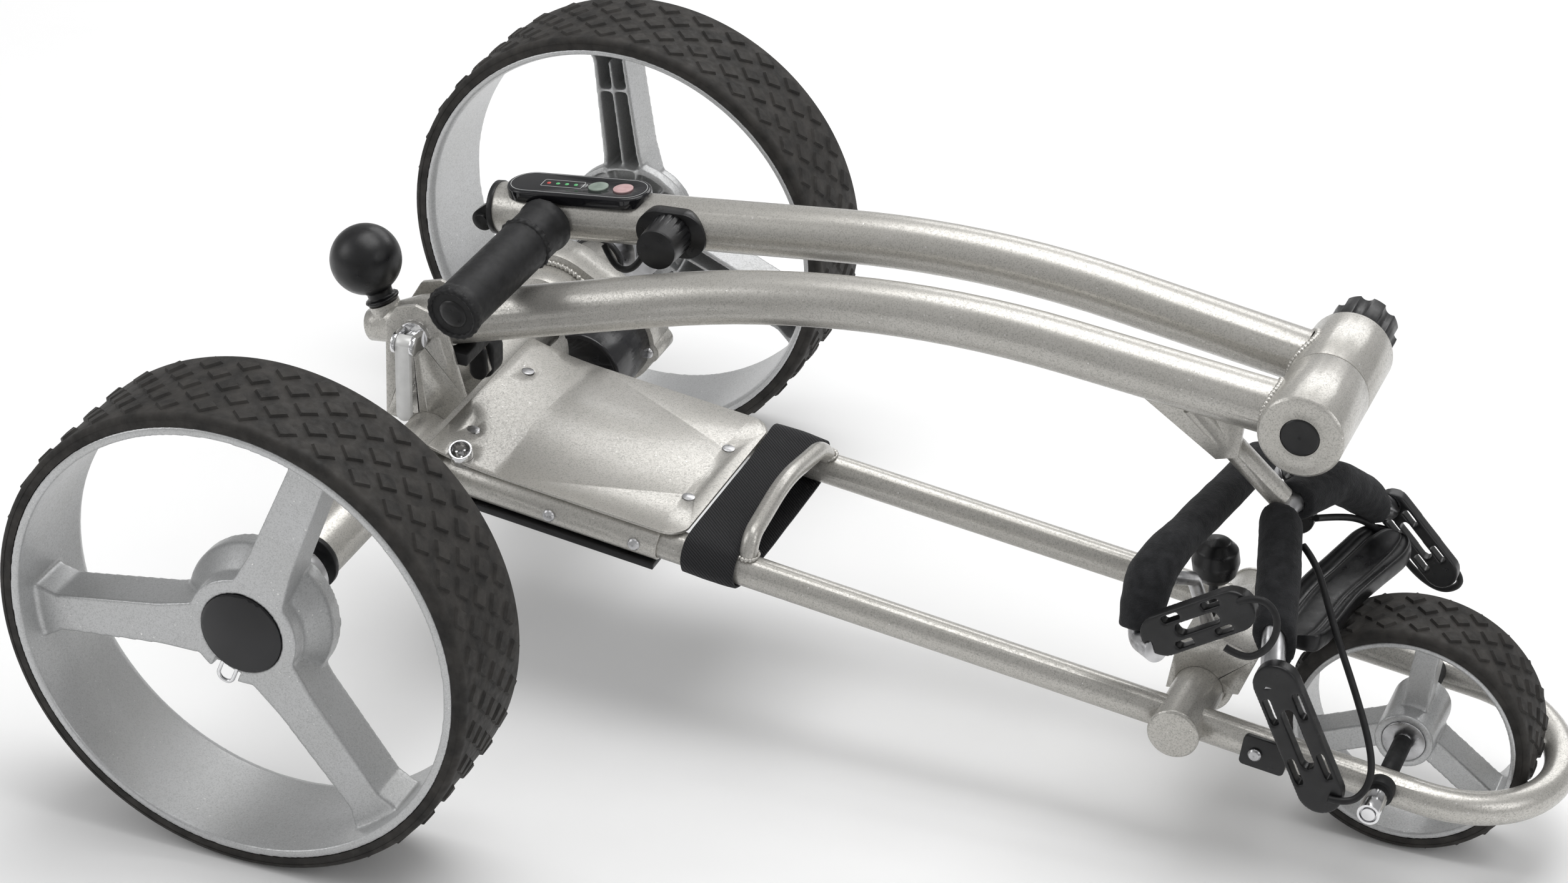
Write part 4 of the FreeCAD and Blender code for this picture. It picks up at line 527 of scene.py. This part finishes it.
cord("lower_bungee_loop",
     [(535, -130.8, 214), (546, -131, 221), (557, -131, 214), (559, -131, 200), (553, -131, 186),
      (541, -130.8, 178),
      (530, -130.8, 183)], "lower_bungee")
cord("upper_bungee_near_cord",
     [(545, -26, 194), (555, -34, 190), (565, -44, 175), (578, -57, 155), (592, -70, 136), (606, -84, 115),
      (613, -95, 101), (612, -104, 91), (604, -111, 85), (593, -113, 87)], "upper_bungee_near")
cord("upper_bungee_far_cord",
     [(543, 10, 192), (551, 34, 182), (560, 58, 169), (569, 77, 151), (579, 90, 131), (591, 97, 114),
      (604, 99, 107),
      (614, 98, 112), (616, 95.5, 121), (609, 94.8, 129)], "upper_bungee_far")
cord("dial_cable_lead",
     [(122, 9, 281), (117, 9, 272), (110, 11, 262), (101, 15, 257), (92, 20, 259), (85, 25, 266)],
     "dial_cable")

# ---------------------------------------------------------------- battery strap

def rail_z(x):
    return 144.1 - x * math.tan(TILT)


def strap(name, x, outline, width, skin, nodes=()):
    """Webbing laid along an outline of (y, height over the rail) pairs, as a thin band."""
    path = curve_points([at(x, y, rail_z(x) + z) for y, z in outline], 10)
    half = width / 2
    verts = []
    faces = []
    stations = frames(path, Vector((1, 0, 0)))
    run = Vector((math.cos(TILT), 0, -math.sin(TILT)))
    columns = 9
    for i, (point, ahead, _, _) in enumerate(stations):
        out = run.cross(ahead).normalized()
        for side in (1, -1):
            for k in range(columns):
                u = side * (2 * k / (columns - 1) - 1)
                crown = 0.0006 * (1 - u * u) + 0.0004 * noise.noise(Vector((i * 0.13, u * 1.5, 3.0)))
                verts.append(point + run * (u * half) + out * (crown + side * skin / 2))
    size = 2 * columns
    for i in range(len(stations) - 1):
        for k in range(size):
            a = i * size + k
            b = i * size + (k + 1) % size
            faces.append((a, b, b + size, a + size))
    faces.append(tuple(reversed(range(size))))
    faces.append(tuple(range(len(verts) - size, len(verts))))
    obj = piece(name, verts, faces, "twill", "chassis", nodes)
    total = sum((b - a).length for a, b in zip(path, path[1:]))
    return obj, total


top_run, top_length = strap("battery_strap_loop", 198,
                            [(-66, -12), (-76, -8), (-79.5, 0), (-76, 8), (-66, 12), (-30, 12.4), (0, 12.2),
                             (34, 12.6), (56, 14.5), (70, 15), (79, 9), (80, -1), (76, -9), (66,
                                                                                             -12.2), (30,
                                                                                                      -13),
                             (0, -13.2), (-30, -13), (-58, -12.4)], 0.034, 0.0016, ["battery_strap"])

# ---------------------------------------------------------------- control panel details

def panel_spot(u, v, w):
    """A point on the control panel: along it, across it and above its middle plane, in mm."""
    slope = math.atan2(314.6 - 276.6, 326 - 16)
    lift = 276.6 + (67.7 - 16) * (314.6 - 276.6) / (326 - 16) + 16 - 0.8
    x = 67.7 + u * math.cos(slope) - w * math.sin(slope)
    z = lift + u * math.sin(slope) + w * math.cos(slope)
    return at(x, 27 + v, z)


NORMAL = (panel_spot(0, 0, 1) - panel_spot(0, 0, 0)).normalized()


def dome(name, u, v, w, radius, height, look):
    """A small round cap standing on the panel."""
    profile = [(0.00001, height)]
    for i in range(1, 7):
        a = math.pi / 2 * i / 6
        profile.append((radius * math.sin(a), height * math.cos(a)))
    profile.append((radius, -0.0006))
    verts, faces = lathe(profile, panel_spot(u, v, w), NORMAL, 32)
    return piece(name, verts, faces, look, "handle")


for index, u in enumerate((-20, -14, -8, -2)):
    dome(f"charge_lamp_{index + 1}", u, 0, 4.0, 0.0013, 0.0005, "lamp_red" if index == 0 else "lamp_green")


def printed(name, points, width):
    """A thin printed line on the panel, a closed outline of (along, across) points."""
    verts = []
    faces = []
    count = len(points)
    for i, (u, v) in enumerate(points):
        before = points[i - 1]
        after = points[(i + 1) % count]
        du, dv = after[0] - before[0], after[1] - before[1]
        size = math.hypot(du, dv)
        nu, nv = -dv / size * width / 2, du / size * width / 2
        verts.append(panel_spot(u + nu, v + nv, 4.05))
        verts.append(panel_spot(u - nu, v - nv, 4.05))
    for i in range(count):
        j = (i + 1) % count
        faces.append((2 * i, 2 * j, 2 * j + 1, 2 * i + 1))
    obj = piece(name, verts, faces, "light", "handle")
    thick = obj.modifiers.new("thick", "SOLIDIFY")
    thick.thickness = 0.00008
    return obj


def rounded(u0, u1, v0, v1, r, steps=5):
    """A rounded rectangle's outline."""
    out = []
    for cu, cv, start in ((u1 - r, v1 - r, 0), (u0 + r, v1 - r, 90), (u0 + r, v0 + r, 180),
                          (u1 - r, v0 + r, 270)):
        for k in range(steps + 1):
            a = math.radians(start + 90 * k / steps)
            out.append((cu + r * math.cos(a), cv + r * math.sin(a)))
    return out


printed("battery_outline", rounded(-24, 3, -4.5, 4.5, 1.2), 0.35)
printed("battery_tip", rounded(3.4, 5.2, -2, 2, 0.6), 0.35)
printed("panel_border", rounded(-44.5, 44.5, -12.6, 12.6, 12.5, 12), 0.35)

# ---------------------------------------------------------------- grip ends and weld beads

def ring_of_braid(name, centre, along, radius, thick, count):
    """A rolled edge, notched like braid."""
    along = along.normalized()
    first = along.orthogonal().normalized()
    second = along.cross(first)
    verts = []
    faces = []
    around, small = count * 4, 10
    for k in range(around):
        a = 2 * math.pi * k / around
        out = first * math.cos(a) + second * math.sin(a)
        swell = 1 + 0.22 * math.sin(a * count)
        for i in range(small):
            b = 2 * math.pi * i / small + a * count * 0.5
            verts.append(centre + out * (radius + thick * swell * math.cos(b)) + along * (thick * 1.5 * math.sin(b)))
    for k in range(around):
        n = (k + 1) % around
        for i in range(small):
            j = (i + 1) % small
            faces.append((k * small + i, k * small + j, n * small + j, n * small + i))
    return piece(name, verts, faces, "rubber", "handle")


def bead(name, points, radius, body, ripple=0.28, pitch=0.0024):
    """A run of weld: a rippled half-buried rope of metal."""
    path = curve_points(points, 14)
    total = 0.0
    places = [0.0]
    for a, b in zip(path, path[1:]):
        total += (b - a).length
        places.append(total)

    def section(i, n):
        end = min(1.0, 4 * min(places[i], total - places[i]) / total + 0.35)
        r = radius * end * (1 + ripple * abs(math.sin(math.pi * places[i] / pitch)) - ripple / 2)
        return [(r * math.cos(2 * math.pi * k / 10),
                 r * 0.8 * math.sin(2 * math.pi * k / 10)) for k in range(10)]

    verts, faces = loft(path, Vector((0.1, 0.2, 1)).normalized(), section)
    return piece(name, verts, faces, "silver", body)


def circle_points(centre, along, radius, start, end, count):
    """Points on part of a circle about a line, angles in degrees."""
    along = along.normalized()
    first = Vector((1, 0, 0)) if abs(along.x) < 0.9 else Vector((0, 0, 1))
    first = (first - along * first.dot(along)).normalized()
    second = along.cross(first)
    out = []
    for k in range(count):
        a = math.radians(start + (end - start) * k / (count - 1))
        out.append(centre + (first * math.cos(a) + second * math.sin(a)) * radius)
    return out


def tube_to_barrel(name, side, height, heading, body):
    """The weld where a folding tube meets its hinge barrel."""
    length = math.hypot(*heading)
    dx, dz = heading[0] / length, heading[1] / length
    points = []
    for k in range(37):
        t = 2 * math.pi * k / 36
        rise = 16.2 * math.sin(t) + height
        back = math.sqrt(25.4 ** 2 - rise ** 2)
        points.append(at(543.5 - dx * back - dz * rise, side + 16.2 * math.cos(t),
                         280.7 - dz * back + dx * rise))
    return bead(name, points, 0.0019, body)


tube_to_barrel("mast_hinge_weld", -27, -2.9, (256, -24.6), "mast")
tube_to_barrel("handle_hinge_weld", 27, 2.7, (198, -28.4), "handle")
bead("gearbox_weld", circle_points(at(0, 132.4, 150), Vector((0, 1, 0)), 0.034, -165, -15, 14), 0.0022,
     "chassis",
     ripple=0.5, pitch=0.0032)
for tag, side in (("right", -65.2), ("left", 65.0)):
    bead("hoop_weld_" + tag, circle_points(at(219, side, rail_z(219) + 10.2), Vector((0, 0, 1)), 0.0062, 0,
                                           360, 13),
         0.0016, "chassis", ripple=0.4)
GRIP_FOOT = at(53.2, 11, 281)
GRIP_ALONG = Vector((-math.tan(math.radians(5.7)), -1, -math.tan(math.radians(5.8)))).normalized()
for tag, reach in (("outer", 0.1095), ("inner", 0.0265)):
    ring_of_braid("grip_edge_" + tag, GRIP_FOOT + GRIP_ALONG * reach, GRIP_ALONG, 0.0155, 0.0019, 22)
cap_profile = [(0.00001, 0.0012), (0.006, 0.0010), (0.0088, 0.0004), (0.0096, -0.0008), (0.0098, -0.003)]
cap_verts, cap_faces = lathe(cap_profile, GRIP_FOOT + GRIP_ALONG * 0.1112, GRIP_ALONG, 40)
piece("grip_end_plug", cap_verts, cap_faces, "plastic", "handle")


# ---------------------------------------------------------------- floor, light and camera

def floor_mesh():
    """A broad floor, curving up far behind."""
    verts = []
    faces = []
    rows = [(-30.0, 0.0), (4.0, 0.0)] + [(4.0 + 3 * math.sin(math.radians(a)),
                                          3 - 3 * math.cos(math.radians(a)))
                                        for a in range(10, 100, 10)] + [(7.0, 12.0)]
    for y, z in rows:
        verts.append(Vector((-30, y, z)))
        verts.append(Vector((30, y, z)))
    for i in range(len(rows) - 1):
        faces.append((2 * i, 2 * i + 1, 2 * i + 3, 2 * i + 2))
    mesh = bpy.data.meshes.new("floor")
    mesh.from_pydata([tuple(v) for v in verts], [], faces)
    mesh.materials.append(M["floor"])
    mesh.polygons.foreach_set("use_smooth", [True] * len(mesh.polygons))
    obj = bpy.data.objects.new("floor", mesh)
    bpy.context.scene.collection.objects.link(obj)


floor_mesh()


def lamp(name, place, aim, size, power):
    """A square soft lamp."""
    data = bpy.data.lights.new(name, "AREA")
    data.shape = "RECTANGLE"
    data.size = size[0]
    data.size_y = size[1]
    data.energy = power
    obj = bpy.data.objects.new(name, data)
    obj.location = place
    obj.rotation_euler = (Vector(aim) - Vector(place)).to_track_quat("-Z", "Y").to_euler()
    bpy.context.scene.collection.objects.link(obj)


lamp("top_light", (0.1, 0.3, 2.6), (0, 0, 0.1), (2.2, 1.8), 44)
lamp("left_light", (-2.3, -1.2, 1.5), (0, 0, 0.1), (1.5, 1.5), 15)
lamp("right_light", (2.4, -0.6, 1.4), (0, 0, 0.1), (1.3, 1.3), 11)
lamp("back_light", (0.2, 2.4, 1.7), (0, 0, 0.15), (2.4, 1.0), 20)

world = bpy.data.worlds.new("studio")
bpy.context.scene.world = world
world.use_nodes = True
world.node_tree.nodes["Background"].inputs["Color"].default_value = (1.0, 1.0, 1.0, 1)
world.node_tree.nodes["Background"].inputs["Strength"].default_value = 0.42

camera = bpy.data.cameras.new("camera")
camera.lens = 94.95
camera.sensor_width = 36.0
camera.sensor_fit = "HORIZONTAL"
camera.clip_end = 60
eye = bpy.data.objects.new("camera", camera)
RIGHT = Vector((0.929, 0.3693, 0.0227)).normalized()
AHEAD = Vector((-0.309, 0.8081, -0.5015)).normalized()
RIGHT = (RIGHT - AHEAD * RIGHT.dot(AHEAD)).normalized()
UP = RIGHT.cross(AHEAD)
eye.matrix_world = Matrix((
    (RIGHT.x, UP.x, -AHEAD.x, 0.7072),
    (RIGHT.y, UP.y, -AHEAD.y, -2.0239),
    (RIGHT.z, UP.z, -AHEAD.z, 1.4276),
    (0, 0, 0, 1)))
bpy.context.scene.collection.objects.link(eye)
bpy.context.scene.camera = eye
bpy.context.scene.view_settings.view_transform = "Standard"
bpy.context.scene.view_settings.exposure = 0.0
